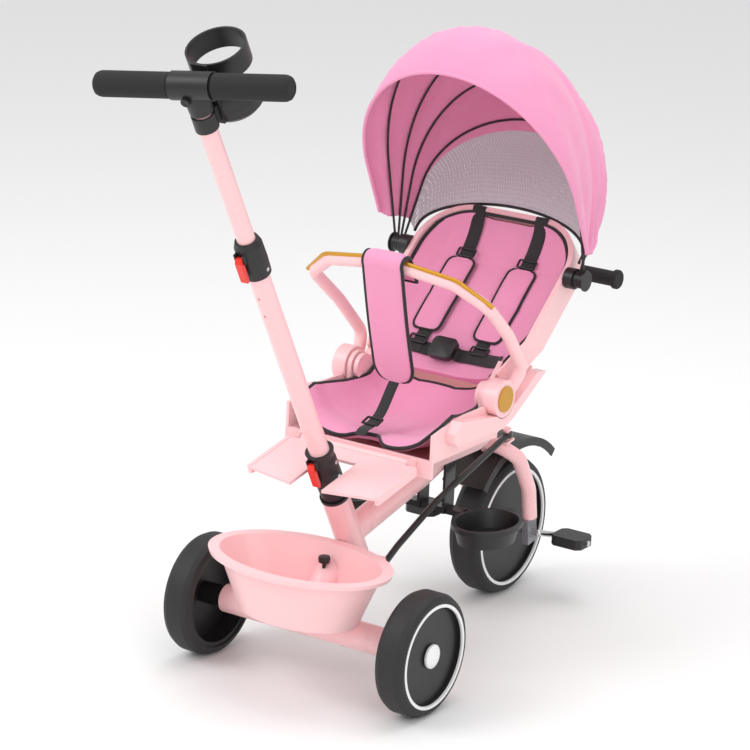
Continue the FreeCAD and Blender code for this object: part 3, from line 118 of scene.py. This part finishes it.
class Paint:
    """A material being put together."""

    def __init__(self, name, color, roughness, metallic=0.0, coat=0.0, sheen=0.0, subsurface=0.0):
        self.material = bpy.data.materials.new(name)
        self.material.use_nodes = True
        self.tree = self.material.node_tree
        self.shader = self.tree.nodes["Principled BSDF"]
        inputs = self.shader.inputs
        inputs["Base Color"].default_value = (*color, 1)
        inputs["Roughness"].default_value = roughness
        inputs["Metallic"].default_value = metallic
        inputs["Coat Weight"].default_value = coat
        inputs["Coat Roughness"].default_value = 0.12
        inputs["Sheen Weight"].default_value = sheen
        inputs["Subsurface Weight"].default_value = subsurface

    def node(self, kind, **inputs):
        made = self.tree.nodes.new("ShaderNode" + kind)
        for name, value in inputs.items():
            socket = made.inputs[name]
            if isinstance(value, Sock):
                self.tree.links.new(value.socket, socket)
            else:
                socket.default_value = value
        return made

    def out(self, made, name):
        return Sock(self.tree, made.outputs[name])

    def coordinates(self):
        return self.out(self.node("TexCoord"), "Object")

    def noise(self, scale, detail=3.0):
        made = self.node("TexNoise", Vector=self.coordinates(), Scale=scale, Detail=detail)
        return self.out(made, "Fac")

    def bump(self, height, distance, strength=1.0):
        made = self.node("Bump", Height=height, Distance=distance, Strength=strength)
        self.tree.links.new(made.outputs[0], self.shader.inputs["Normal"])

    def vary_roughness(self, base, amount, scale=30.0):
        value = self.noise(scale) * amount + (base - amount / 2)
        self.tree.links.new(value.socket, self.shader.inputs["Roughness"])


def pink_plastic():
    paint = Paint("pink_plastic", (1.0, 0.62, 0.64), 0.36, coat=0.15, subsurface=0.05)
    paint.vary_roughness(0.36, 0.06, 22)
    paint.bump(paint.noise(900, 2), 0.00004)
    return paint.material


def pink_paint():
    paint = Paint("pink_paint", (1.0, 0.60, 0.62), 0.28, coat=0.3)
    paint.vary_roughness(0.28, 0.05, 30)
    paint.bump(paint.noise(500, 2), 0.00003)
    return paint.material


def black_plastic():
    paint = Paint("black_plastic", (0.012, 0.012, 0.013), 0.42)
    paint.vary_roughness(0.42, 0.08, 40)
    paint.bump(paint.noise(1600, 2), 0.00005)
    return paint.material


def black_rubber():
    paint = Paint("black_rubber", (0.016, 0.016, 0.017), 0.62)
    paint.vary_roughness(0.6, 0.1, 60)
    paint.bump(paint.noise(1200, 3), 0.00008)
    return paint.material


def black_foam():
    paint = Paint("black_foam", (0.014, 0.014, 0.015), 0.8)
    paint.bump(paint.noise(2200, 2), 0.00015)
    return paint.material


def black_metal():
    paint = Paint("black_metal", (0.012, 0.012, 0.013), 0.3, coat=0.2)
    paint.vary_roughness(0.3, 0.05, 30)
    return paint.material


def steel():
    paint = Paint("steel", (0.62, 0.62, 0.63), 0.22, metallic=1.0)
    paint.vary_roughness(0.24, 0.12, 50)
    return paint.material


def grey_casting():
    paint = Paint("grey_casting", (0.32, 0.32, 0.34), 0.42, metallic=0.7)
    paint.bump(paint.noise(700, 3), 0.0001)
    return paint.material


def white_plastic():
    paint = Paint("white_plastic", (0.86, 0.86, 0.86), 0.3, coat=0.2)
    paint.vary_roughness(0.3, 0.05, 30)
    return paint.material


def red_plastic():
    paint = Paint("red_plastic", (0.85, 0.02, 0.008), 0.3, coat=0.3)
    paint.vary_roughness(0.3, 0.06, 30)
    return paint.material


def gold_plastic():
    paint = Paint("gold_plastic", (0.62, 0.30, 0.015), 0.34, metallic=0.55, coat=0.3)
    paint.vary_roughness(0.34, 0.08, 40)
    return paint.material


def pink_fabric():
    paint = Paint("pink_fabric", (0.86, 0.33, 0.53), 0.85, sheen=0.25)
    fine = paint.noise(1500, 2) * 0.3 + paint.noise(45, 4)
    paint.bump(fine, 0.0012, 0.6)
    return paint.material


def mesh_fabric():
    """Open diamond mesh: clear holes between two sets of slanting threads."""
    paint = Paint("mesh_fabric", (0.62, 0.58, 0.62), 0.8)
    parts = paint.node("SeparateXYZ", Vector=paint.coordinates())
    x, y, z = (paint.out(parts, name) for name in ("X", "Y", "Z"))
    along = (z - y) * 0.7
    one = ((x + along) * 210).frac().above(0.55)
    two = ((x - along) * 210).frac().above(0.55)
    solid = one.op("MAXIMUM", two) * 0.72 + 0.16
    paint.tree.links.new(solid.socket, paint.shader.inputs["Alpha"])
    return paint.material


def black_webbing():
    paint = Paint("black_webbing", (0.012, 0.012, 0.013), 0.7, sheen=0.2)
    paint.bump(paint.noise(1500, 2), 0.0002)
    return paint.material


MATERIALS = {make.__name__: make() for make in (
    pink_plastic, pink_paint, black_plastic, black_rubber, black_foam, black_metal, steel, grey_casting,
    white_plastic, red_plastic, gold_plastic, pink_fabric, mesh_fabric, black_webbing)}

for entry in frame["record"]["subparts"]:
    thing = NODES[entry["node"]]
    thing.data.materials.clear()
    thing.data.materials.append(MATERIALS[entry["material_slot"]])


# ---------------------------------------------------------------- surfaces
def grid_faces(rows, columns, wrap_rows=False, wrap_columns=False):
    """Quads over a grid of points, joined round where it wraps."""
    row, column = np.meshgrid(np.arange(rows if wrap_rows else rows - 1),
                              np.arange(columns if wrap_columns else columns - 1), indexing="ij")
    row, column = row.ravel(), column.ravel()
    below, beside = (row + 1) % rows, (column + 1) % columns
    quads = np.stack([row * columns + column, below * columns + column,
                      below * columns + beside, row * columns + beside], 1)
    return quads.tolist()


def publish(name, points, faces, body, material, stands_for=(), angle=38):
    """Makes a mesh of row-frame points, faces outward, riding a body if one is named."""
    mesh = bpy.data.meshes.new(name)
    mesh.from_pydata(np.asarray(points, float).reshape(-1, 3).tolist(), [], faces)
    work = bmesh.new()
    work.from_mesh(mesh)
    bmesh.ops.remove_doubles(work, verts=work.verts, dist=1e-6)
    bmesh.ops.recalc_face_normals(work, faces=work.faces)
    work.to_mesh(mesh)
    work.free()
    mesh.shade_smooth()
    mesh.set_sharp_from_angle(angle=math.radians(angle))
    thing = bpy.data.objects.new(name, mesh)
    bpy.context.scene.collection.objects.link(thing)
    mesh.materials.append(MATERIALS[material])
    if body:
        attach(thing, body)
    if stands_for:
        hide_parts(*stands_for)
    return thing


class Parts:
    """Several surfaces gathered into one mesh."""

    def __init__(self):
        self.points = []
        self.faces = []
        self.count = 0

    def add(self, points, faces):
        points = np.asarray(points, float).reshape(-1, 3)
        self.points.append(points)
        self.faces += [[index + self.count for index in face] for face in faces]
        self.count += len(points)

    def publish(self, name, body, material, stands_for=(), angle=38):
        return publish(name, np.concatenate(self.points), self.faces, body, material, stands_for, angle)


def unit(vectors):
    return vectors / np.maximum(np.linalg.norm(vectors, axis=-1, keepdims=True), 1e-12)


def smooth_path(points, count):
    """A cubic through the points, with evenly spaced samples."""
    points = np.asarray(points, float)
    padded = np.vstack([2 * points[0] - points[1], points, 2 * points[-1] - points[-2]])
    t = np.linspace(0, 1, 24, endpoint=False)[:, None]
    runs = []
    for a, b, c, d in zip(padded, padded[1:], padded[2:], padded[3:]):
        runs.append(0.5 * (2 * b + (c - a) * t + (2 * a - 5 * b + 4 * c - d) * t ** 2
                           + (3 * b - a - 3 * c + d) * t ** 3))
    dense = np.vstack(runs + [points[-1:]])
    return resample(dense, count)


def resample(line, count):
    """The same line with evenly spaced samples."""
    steps = np.concatenate([[0], np.cumsum(np.linalg.norm(np.diff(line, axis=0), axis=1))])
    at = np.linspace(0, steps[-1], count)
    return np.stack([np.interp(at, steps, line[:, axis]) for axis in range(line.shape[1])], 1)


def carried(path, first_normal, closed=False):
    """Frames carried along a path without twist."""
    path = np.asarray(path, float)
    if closed:
        tangent = unit(np.roll(path, -1, 0) - np.roll(path, 1, 0))
    else:
        tangent = unit(np.gradient(path, axis=0))
    normal = np.zeros_like(path)
    current = np.asarray(first_normal, float)
    for index, direction in enumerate(tangent):
        current = unit(current - direction * np.dot(current, direction))
        normal[index] = current
    return tangent, normal, np.cross(tangent, normal)


def sweep(path, section, first_normal=(0, 0, 1), scale=None, normals=None, closed=False):
    """Points and faces of a closed section carried along a path."""
    path = np.asarray(path, float)
    section = np.asarray(section, float)
    if normals is None:
        _, normal, side = carried(path, first_normal, closed)
    else:
        tangent = unit(np.gradient(path, axis=0))
        normal = unit(normals - tangent * np.sum(normals * tangent, 1, keepdims=True))
        side = np.cross(tangent, normal)
    scale = np.ones(len(path)) if scale is None else np.asarray(scale, float)
    grid = (path[:, None] + section[None, :, 0, None] * normal[:, None] * scale[:, None, None]
            + section[None, :, 1, None] * side[:, None] * scale[:, None, None])
    rows, columns = grid.shape[:2]
    faces = grid_faces(rows, columns, wrap_rows=closed, wrap_columns=True)
    if not closed:
        faces.append(list(range(columns)))
        faces.append(list(range((rows - 1) * columns, rows * columns)))
    return grid.reshape(-1, 3), faces


def ring_section(radius, count):
    """A round section."""
    a = np.linspace(0, 2 * np.pi, count, endpoint=False)
    return np.stack([radius * np.cos(a), radius * np.sin(a)], 1)


def band_section(width, thickness, count=6):
    """A flat band's section with rounded edges; its width lies along the second axis."""
    half = thickness / 2
    a = np.linspace(-np.pi / 2, np.pi / 2, count)
    right = np.stack([half * np.sin(a), width / 2 - half + half * np.cos(a)], 1)
    return np.vstack([right, -right])


def rounded_box_section(width, height, radius, count=5):
    """A rectangle's outline with rounded corners."""
    corners = []
    for turn, (sx, sy) in enumerate(((1, 1), (-1, 1), (-1, -1), (1, -1))):
        a = np.linspace(0, np.pi / 2, count) + turn * np.pi / 2
        corners.append(np.stack([sx * (width / 2 - radius) + radius * np.cos(a),
                                 sy * (height / 2 - radius) + radius * np.sin(a)], 1))
    return np.vstack(corners)


def slab(top, bottom):
    """A closed solid between two grids of the same shape."""
    rows, columns = top.shape[:2]
    faces = grid_faces(rows, columns)
    under = [[index + rows * columns for index in reversed(face)] for face in faces]
    edge = (list(range(columns)) + [r * columns + columns - 1 for r in range(1, rows)]
            + [(rows - 1) * columns + c for c in range(columns - 2, -1, -1)]
            + [r * columns for r in range(rows - 2, 0, -1)])
    walls = [[a, b, b + rows * columns, a + rows * columns] for a, b in zip(edge, edge[1:] + edge[:1])]
    return np.concatenate([top.reshape(-1, 3), bottom.reshape(-1, 3)]), faces + under + walls


def ripple(values, seed, waves=6, low=2.0, high=9.0):
    """Smooth repeatable waviness of about unit height along one parameter."""
    rng = np.random.default_rng(seed)
    total = np.zeros_like(values)
    for _ in range(waves):
        total = total + rng.uniform(0.4, 1) * np.sin(2 * np.pi * rng.uniform(low, high) * values
                                                     + rng.uniform(0, 2 * np.pi))
    return total / math.sqrt(waves)


def normals_of(grid):
    """Unit normals of a grid of points."""
    across = np.gradient(grid, axis=1)
    along = np.gradient(grid, axis=0)
    return unit(np.cross(along, across))


def edge_loop(grid):
    """The points round a grid's rim, in order."""
    return np.vstack([grid[0], grid[1:, -1], grid[-1, -2::-1], grid[-2:0:-1, 0]])


# ---------------------------------------------------------------- canopy
# each bow as the frame has it: angle about the hubs, reach, half-width, height of the straight leg
BOW_ROWS = {"front": (103.0, 411.0, 186.2, 150.0), "second": (87.0, 367.0, 182.0, 122.0),
            "third": (75.5, 312.0, 177.8, 112.0), "rear": (60.0, 255.0, 173.6, 114.0)}
STEPS = 73                        # points along an arch
WINDOW_ROWS = 21
CLOTH_FOOT = 46.0                 # radius about the hubs where the cloth begins


def arch(angle, reach, half, straight, low):
    """Points of an arch: two straight legs and the upper half of an ellipse, leaning by its angle."""
    rise = np.linspace(low, straight, 9)[:-1]
    turn = np.linspace(0, np.pi, STEPS - 16)
    x = np.concatenate([np.full(8, half), half * np.cos(turn), np.full(8, -half)])
    r = np.concatenate([rise, straight + (reach - straight) * np.sin(turn), rise[::-1]])
    a = math.radians(angle)
    return np.stack([x, r * math.cos(a), r * math.sin(a)], 1)


def fabric_panel(name, bands, body, node, material="pink_fabric", rows=21, seed=1, slack=1.6):
    """Cloth through a set of arches, each column a smooth curve, with small folds that fade at its ends."""
    arches = np.stack([arch(*band) for band in bands])
    grid = np.stack([smooth_path(arches[:, column], rows) for column in range(STEPS)], 1)
    u = np.linspace(0, 1, STEPS)[None, :]
    v = np.linspace(0, 1, rows)[:, None]
    folds = (ripple(u + 0.12 * v, seed, 5, 5, 13) + 0.8 * ripple(u - 0.2 * v, seed + 40, 6, 14, 30)) * slack
    folds = folds * np.sin(np.pi * v) ** 0.8
    normal = normals_of(grid)
    centre = grid.mean((0, 1)) * np.array([0.0, 0.55, 0.55])
    flip = np.sign(np.sum(normal * (grid - centre), -1, keepdims=True))
    normal = normal * np.where(flip == 0, 1, flip)
    top = grid + normal * (folds[..., None] + 0.8)
    bottom = grid + normal * (folds[..., None] - 0.8)
    points, faces = slab(top, bottom)
    thing = publish(name, hub(points), faces, body, material, (node,), angle=50)
    return thing, grid


def canopy():
    """Three cloth panels, the mesh window and its binding, the visor's roll and the bows' sleeves."""
    out = 4.6                     # how far the cloth stands off a bow
    f, s, t, r = (BOW_ROWS[name] for name in ("front", "second", "third", "rear"))

    def over(row):
        """The arch of cloth that lies over one bow."""
        return (row[0], row[1] + out, row[2] + out, row[3], CLOTH_FOOT)

    fabric_panel("canopy_front_cloth", [
        (116.0, 381.0, 204.0, 160.0, 62.0), (113.0, 395.0, 205.0, 160.0, 58.0),
        (108.5, 411.0, 201.0, 156.0, 52.0),
        (f[0], f[1] + out + 1, f[2] + out + 1, f[3], 48.0), (95.5, 400.0, 191.5, 138.0, 46.0), over(s)],
        "canopy_front", "canopy_front_panel", rows=33, seed=4)
    fabric_panel("canopy_middle_cloth", [
        over(s), (84.0, 371.0, 191.0, 122.0, 46.0), (79.5, 350.0, 190.0, 118.0, 46.0), over(t)],
        "canopy_second", "canopy_middle_panel", rows=21, seed=7)
    fabric_panel("canopy_rear_cloth", [
        over(t), (71.0, 331.0, 188.0, 100.0, 46.0), (65.5, 318.0, 188.0, 92.0, 46.0), over(r)],
        "canopy_third", "canopy_rear_panel", rows=25, seed=9)
    window, grid = fabric_panel("canopy_window_cloth", [
        over(r), (53.0, 198.0, 172.0, 84.0, 40.0), (44.7, 112.0, 162.5, 42.0, 30.0)],
        None, "canopy_mesh_window", "mesh_fabric", rows=WINDOW_ROWS, seed=11, slack=0.5)
    window.data.materials.append(MATERIALS["pink_fabric"])
    lower = grid[-1] + np.array([0, -0.5, 0])
    points, faces = sweep(lower, ring_section(2.6, 10), first_normal=(1, 0, 0))
    publish("canopy_window_binding", hub(points), faces, "backrest", "black_webbing")
    for face in window.data.polygons:
        if min(face.vertices) % (WINDOW_ROWS * STEPS) // STEPS < 3:
            face.material_index = 1

    hub([[0, 79.6, 78.8]])[0]
    hub([[0, 129.5, 224.3]])[0]
    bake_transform(window)

    # the visor's rolled edge
    visor = arch(116.2, 381.0, 204.0, 160.0, 62.0)
    points, faces = sweep(visor, ring_section(3.2, 12), first_normal=(1, 0, 0))
    publish("canopy_visor_roll", hub(points), faces, "canopy_front", "pink_fabric")

    # a black sleeve at the foot of each bow
    for name, (angle, _, half, _) in BOW_ROWS.items():
        sleeves = Parts()
        for side in (1, -1):
            line = np.stack([np.full(12, side * half), np.zeros(12), np.linspace(20, 60, 12)], 1)
            line = line @ turn_x(angle - 90).T
            points, faces = sweep(line, ring_section(1.0, 14), first_normal=(1, 0, 0),
                                  scale=np.interp(np.arange(12), [0, 1, 10, 11], [2.05, 2.09, 2.09, 2.05]))
            sleeves.add(hub(points), faces)
        sleeves.publish("canopy_sleeve_" + name, "canopy_" + name, "black_plastic")


# ---------------------------------------------------------------- quilted lining
BACK_LOW, BACK_TOP = 34, 341.5    # lower and upper end of the lining on the backrest
BACK_HALF = 143                   # its half-width above the slanting part
BACK_CORNER = 83                  # radius of its top corners
BACK_CORNER_START = 258           # height where those corners begin
BACK_REAR = 34                    # depth of its rear face


def quilt(across, along, pitch_across, pitch_along, height):
    """Puffs between stitch lines: half the root of each of two rectified sines, summed, less 0.6."""
    a = np.abs(np.sin(np.pi * across / pitch_across))
    b = np.abs(np.sin(np.pi * along / pitch_along))
    return height * (np.sqrt(a) * 0.5 + np.sqrt(b) * 0.5 - 0.6)


def smooth_floor(y):
    """Height of the lining along its middle: a soft front edge, a hollow, then a rise to the backrest."""
    at = np.linspace(105, 345, 97)
    height = np.interp(at, [105, 118, 135, 180, 250, 285, 310, 336, 345],
                       [380, 389, 392, 381, 378, 381, 391, 424, 438])
    height = np.convolve(np.pad(height, 5, mode="edge"), np.ones(11) / 11, "valid")
    return np.interp(y, at, height)


def seat_lining():
    """The quilted seat with its binding: low at the front, rising at the sides and to the backrest."""
    rows, columns = 61, 81
    u = np.linspace(-1, 1, columns)[None, :]
    v = np.linspace(0, 1, rows)[:, None]
    front = 116 + 40 * np.exp(-(u / 0.2) ** 2) + 26 * np.abs(u) ** 6
    y = front + (336 - front) * v
    wide = np.interp(v, [0, 0.3, 0.65, 0.8, 1.0], [133, 132, 118, 108, 110])
    x = u * wide
    floor = smooth_floor(y)
    rim = 52 * np.abs(u) ** 4.5 * np.interp(v, [0, 0.15, 1], [0.7, 1.0, 0.8])
    z = floor + rim - 9 * (1 - v) ** 8 * (1 - u ** 4)
    z = z + quilt(x + 35, y - 30, 70, 78, 5.0) * (1 - np.abs(u) ** 8)
    grid = np.stack([x, y + 0 * x, z], 2)
    normal = normals_of(grid)
    normal = normal * np.sign(normal[..., 2:3])
    thick = (8 + 16 * (1 - u ** 2)) * (0.35 + 0.65 * np.sin(np.pi * np.clip(v, 0.02, 0.98)) ** 0.5)
    under = grid - normal * thick[..., None]
    under[..., 2] = np.maximum(under[..., 2], 351 + 60 * np.clip((y - 300) / 40, 0, 1))
    points, faces = slab(grid, under)
    pad = publish("seat_lining", ground(points), faces, "seat", "pink_fabric", ("seat_pad",), angle=60)
    edge = edge_loop(grid - normal * 2.5)
    points, faces = sweep(edge, ring_section(3.3, 10), first_normal=(0, 0, 1), closed=True)
    publish("seat_lining_binding", ground(points), faces, "seat", "black_webbing")


def back_half(z):
    """Half-width of the lining on the backrest: slanting low down, a quarter circle at each top corner."""
    low = np.interp(z, [BACK_LOW, 128], [114, BACK_HALF])
    up = np.clip(z - BACK_CORNER_START, 0, BACK_CORNER)
    top = BACK_HALF - BACK_CORNER + np.sqrt(np.clip(BACK_CORNER ** 2 - up ** 2, 0, None))
    return np.minimum(low, top)


def back_surface(x, z):
    """Depth of the backrest lining's face: flat in the middle, rising to the rim, puffed between seams."""
    half = np.maximum(back_half(z), 1)
    s = np.clip(np.abs(x) / half, 0, 1)
    rise = 25 * s ** 4 + 22 * np.clip((z - 270) / 72, 0, 1) ** 2
    return 25 - np.minimum(rise, 29) - quilt(x + 35, z - 20, 70, 80, 4.5) * (1 - s ** 8)


def back_lining():
    """The quilted lining on the backrest, with its binding."""
    rows, columns = 81, 81
    u = np.linspace(-1, 1, columns)[None, :]
    v = np.linspace(0, 1, rows)[:, None]
    z = BACK_LOW + (BACK_TOP - BACK_LOW) * v + 0 * u
    half = back_half(z)
    x = u * half
    y = back_surface(x, z)
    grid = np.stack([x, y, z], 2)
    depth = np.minimum(BACK_REAR - y, 8 + 14 * (1 - u ** 2))
    under = grid + np.stack([0 * x, np.maximum(depth, 1.0), 0 * x], 2)
    points, faces = slab(grid[:-1], under[:-1])
    pad = publish("back_lining", back(points), faces, "backrest", "pink_fabric", ("back_pad",), angle=60)
    t = np.linspace(0, 1, 70)
    zz = BACK_LOW + (BACK_TOP - BACK_LOW) * np.sin(t * np.pi / 2)
    right = np.stack([back_half(zz) - 1, back_surface(back_half(zz) - 1, zz) + 1.5, zz], 1)
    left = right[::-1] * np.array([-1, 1, 1])
    line = resample(np.vstack([right, left]), 220)
    points, faces = sweep(line, ring_section(3.4, 10), first_normal=(0, 1, 0))
    publish("back_lining_binding", back(points), faces, "backrest", "black_webbing")


def harness():
    """Shoulder straps with cushions and rings, the buckle, and the waist straps."""
    pad_x = 60                    # half the distance between the cushions' middles
    straps, cushions, binding, hard = Parts(), Parts(), Parts(), Parts()
    for side in (1, -1):
        z = np.concatenate([np.linspace(62, 330, 40), [345, 352, 354, 350, 335, 310]])
        x = np.full(z.shape, side * 58.0) + side * 4 * np.clip((z - 150) / 200, 0, 1)
        y = back_surface(x, np.clip(z, BACK_LOW, 330)) - 2.2
        y[-6:] = [-9, -7, 6, 26, 42.5, 42.5]
        line = smooth_path(np.stack([x, y, z], 1), 110)
        normals = np.tile([0.0, -1.0, 0.0], (110, 1))
        top = line[:, 2] > 347
        normals[top] = (0, 0, 1)
        normals[(line[:, 1] > 30) & ~top] = (0, 1, 0)
        for _ in range(6):
            normals[1:-1] = (normals[:-2] + normals[1:-1] + normals[2:]) / 3
        points, faces = sweep(line, band_section(25, 1.5), normals=unit(normals))
        straps.add(back(points), faces)
        # shoulder cushion: a rounded pad over the strap
        zz = np.linspace(0, 1, 31)[:, None]
        uu = np.linspace(-1, 1, 17)[None, :]
        high = 108 + 150 * zz + 0 * uu
        end = np.clip(np.abs(zz - 0.5) * 2 - 0.82, 0, 1)
        wide = 26 * np.minimum(1, np.sqrt(np.clip(1 - end ** 2 / 0.034, 0, 1)) * 0.35 + 0.65)
        cx = side * pad_x + uu * wide
        lining = back_surface(side * pad_x + 0 * cx, high)
        puff = 8 * (1 - uu ** 4) * np.sin(np.pi * np.clip(zz, 0.03, 0.97)) ** 0.4
        grid = np.stack([cx, lining - 4 - puff, high], 2)
        base = lining - 3.2
        points, faces = slab(grid, np.stack([cx, base, high], 2))
        cushions.add(back(points), faces)
        points, faces = sweep(edge_loop(np.stack([cx, base - 1.2, high], 2)), ring_section(2.4, 8),
                              first_normal=(0, 1, 0), closed=True)
        binding.add(back(points), faces)
        for height in (86, 270):
            ring = np.array([(side * pad_x + a, 0, height + b) for a, b in (
                (-16, -7), (16, -7), (16, 7), (-16, 7))], float)
            ring = resample(np.vstack([ring, ring[:1]]), 33)[:-1]
            ring[:, 1] = back_surface(ring[:, 0] * 0 + side * pad_x, ring[:, 2]) - 5.5
            points, faces = sweep(ring, ring_section(1.9, 8), first_normal=(0, 1, 0), closed=True)
            hard.add(back(points), faces)
    strap = straps.publish("harness_straps", "backrest", "black_webbing", ("shoulder_harness",))
    pad = cushions.publish("harness_pads", "backrest", "pink_fabric", angle=60)
    binding.publish("harness_pad_binding", "backrest", "black_webbing")
    # centre buckle where the shoulder and waist straps meet
    section = rounded_box_section(46, 40, 9)
    line = np.array([(0, y, 72) for y in (14.5, 13.6, 3.6, 2.4)], float)
    points, faces = sweep(line, section, first_normal=(1, 0, 0), scale=[0.92, 1.0, 1.0, 0.9])
    hard.add(back(points), faces)
    hard.publish("harness_buckle", "backrest", "black_plastic")
    waist = Parts()
    for side in (1, -1):
        across = np.linspace(18, 112, 26)
        y = back_surface(side * across, np.full(26, 70.0)) - 2.5
        y[0] -= 6
        y[1] -= 5
        line = np.stack([side * across, y, np.full(26, 70.0) + 3 * np.sin(across / 30)], 1)
        points, faces = sweep(line, band_section(25, 1.5), normals=np.tile([0.0, -1.0, 0.0], (26, 1)))
        waist.add(back(points), faces)
    thing = waist.publish("waist_straps", "backrest", "black_webbing")


# ---------------------------------------------------------------- grab bar pad
def bumper_pad():
    """A soft pad wrapped over the bar, hanging down in front with a rounded end."""
    rows, columns = 91, 25
    bar = np.array([-2, 255])     # the bar's middle
    reach = 13.0                  # from there to the pad's middle line
    drop = 205                    # how far the front hangs down
    turn = np.linspace(np.radians(-5), np.radians(185), 19)
    over = np.stack([bar[0] + reach * np.cos(turn), bar[1] + reach * np.sin(turn)], 1)
    tilt = math.radians(13.5)
    s = np.linspace(6, drop, 36)
    front = np.stack([over[-1, 0] - np.sin(tilt) * s - 3 * np.sin(np.pi * s / drop),
                      over[-1, 1] - np.cos(tilt) * s], 1)
    flap = np.stack([np.linspace(11.5, 11.2, 8)[:-1], np.linspace(210, 254, 8)[:-1]], 1)
    line = resample(np.vstack([flap, over, front]), rows)
    length = drop + 44 + 43
    near_end = np.clip(1 - np.linspace(length, 0, rows) / 30, 0, 1)
    half = 37 * np.minimum(1, 0.45 + 0.55 * np.sqrt(np.clip(1 - near_end ** 2, 0, 1)))
    along = unit(np.gradient(line, axis=0))
    outward = np.stack([-along[:, 1], along[:, 0]], 1)
    if np.dot(outward[14], line[14] - bar) < 0:
        outward = -outward
    u = np.linspace(-1, 1, columns)[None, :]
    puff = 4.5 * (1 - u ** 6) + 1.2

    def layer(amount):
        """The pad's sheet, moved outward by an amount for each point."""
        yz = line[:, None, :] + outward[:, None, :] * amount[..., None]
        return np.stack([half[:, None] * u, yz[..., 0], yz[..., 1]], 2)

    top = layer(np.broadcast_to(puff, (rows, columns)))
    bottom = layer(np.full((rows, columns), -0.8))
    points, faces = slab(top, bottom)
    pad = publish("bumper_soft_pad", bumper_frame(points), faces, "bumper", "pink_fabric",
                  ("bumper_pad",), angle=60)
    points, faces = sweep(edge_loop(layer(np.full((rows, columns), 0.8))), ring_section(3.0, 10),
                          first_normal=(0, 1, 0), closed=True)
    publish("bumper_pad_binding", bumper_frame(points), faces, "bumper", "black_webbing")


def bumper_strap():
    """A flat strap from the pad's lower end down to the front of the seat, with a slider on it."""
    line = smooth_path([(0, 214, 468), (0, 196, 446), (0, 168, 412),
                        (0, 140, 399), (0, 122, 396), (0, 110, 389)], 60)
    points, faces = sweep(line, band_section(20, 1.5), normals=np.tile([0.0, -0.6, 0.8], (60, 1)))
    strap = publish("bumper_strap", ground(points), faces, None, "black_webbing")
    ground([[0, 150, 404]])[0]
    ground([[0, 208, 461]])[0]
    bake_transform(strap)
    ring = np.array([(-14, -9, 0), (14, -9, 0), (14, 9, 0), (-14, 9, 0), (-14, -9, 0)], float)
    ring = resample(ring, 33)[:-1] @ turn_x(18).T + np.array([0, 146, 403.5])
    points, faces = sweep(ring, ring_section(2.0, 8), first_normal=(0, 0, 1), closed=True)
    publish("bumper_strap_slider", ground(points), faces, "seat", "black_plastic")


# ---------------------------------------------------------------- small edges
def eased_edges():
    """A small bevel on the moulded and cut pieces, so that their edges catch the light."""
    for name, width in (("seat_shell", 2.2), ("leg_rest", 1.8), ("rear_basket", 1.2),
                        ("footrest_left", 0.9), ("footrest_right", 0.9), ("pedal_left", 3.0),
                        ("pedal_right", 3.0), ("low_clamp", 0.8),
                        ("mid_clamp", 0.8), ("low_clamp_lever", 1.0), ("mid_clamp_lever", 1.0),
                        ("handle_hub", 1.2), ("cup_holder", 0.8), ("axle_brackets", 1.6), ("bumper_bar", 1.2),
                        ("footrest_bracket", 0.8), ("front_tyre", 3.0), ("rear_tyre_left", 2.5),
                        ("rear_tyre_right", 2.5), ("fender", 0.8), ("backrest_shell", 2.0)):
        thing = NODES[name]
        bevel = thing.modifiers.new("eased", "BEVEL")
        bevel.width = width * MM
        bevel.segments = 2
        bevel.limit_method = "ANGLE"
        bevel.angle_limit = math.radians(35)
        bevel.harden_normals = True


canopy()
seat_lining()
back_lining()
harness()
bumper_pad()
bumper_strap()
eased_edges()


# ---------------------------------------------------------------- room, light and camera
def room():
    bpy.ops.mesh.primitive_plane_add(size=40)
    floor = bpy.context.object
    floor.name = "floor"
    paint = Paint("floor", (0.93, 0.93, 0.93), 0.55)
    floor.data.materials.append(paint.material)
    world = bpy.data.worlds.new("studio")
    bpy.context.scene.world = world
    world.use_nodes = True
    world.node_tree.nodes["Background"].inputs[0].default_value = (1, 1, 1, 1)
    world.node_tree.nodes["Background"].inputs[1].default_value = 0.75
    lights = (("key", (-2.2, -2.6, 3.4), 2.2, 60), ("fill", (3.2, -2.0, 2.2), 2.5, 32),
              ("top", (0.2, 0.8, 3.8), 2.8, 45))
    for name, at, width, power in lights:
        data = bpy.data.lights.new(name, "AREA")
        data.size = width
        data.energy = power
        light = bpy.data.objects.new(name, data)
        bpy.context.scene.collection.objects.link(light)
        light.location = at
        aim = Vector((0, 0, 0.45)) - Vector(at)
        light.rotation_euler = aim.to_track_quat("-Z", "Y").to_euler()


def camera():
    azimuth = math.radians(33.191)
    elevation = math.radians(16.41)
    roll = math.radians(2.659)
    out = Vector((math.sin(azimuth) * math.cos(elevation), -math.cos(azimuth) * math.cos(elevation),
                  math.sin(elevation)))
    right = Vector((math.cos(azimuth), math.sin(azimuth), 0))
    up = out.cross(right)
    across = math.cos(roll) * right + math.sin(roll) * up
    high = math.cos(roll) * up - math.sin(roll) * right
    data = bpy.data.cameras.new("camera")
    data.sensor_width = 36
    data.lens = 3106.975 / 750 * 36
    data.clip_end = 60
    seen = bpy.data.objects.new("camera", data)
    bpy.context.scene.collection.objects.link(seen)
    matrix = Matrix((across, high, out)).transposed().to_4x4()
    matrix.translation = Vector((2.617998, -3.855075 + AXLE_Y, 1.889390))
    seen.matrix_world = matrix
    bpy.context.scene.camera = seen


room()
camera()
bpy.context.scene.view_settings.view_transform = "Standard"
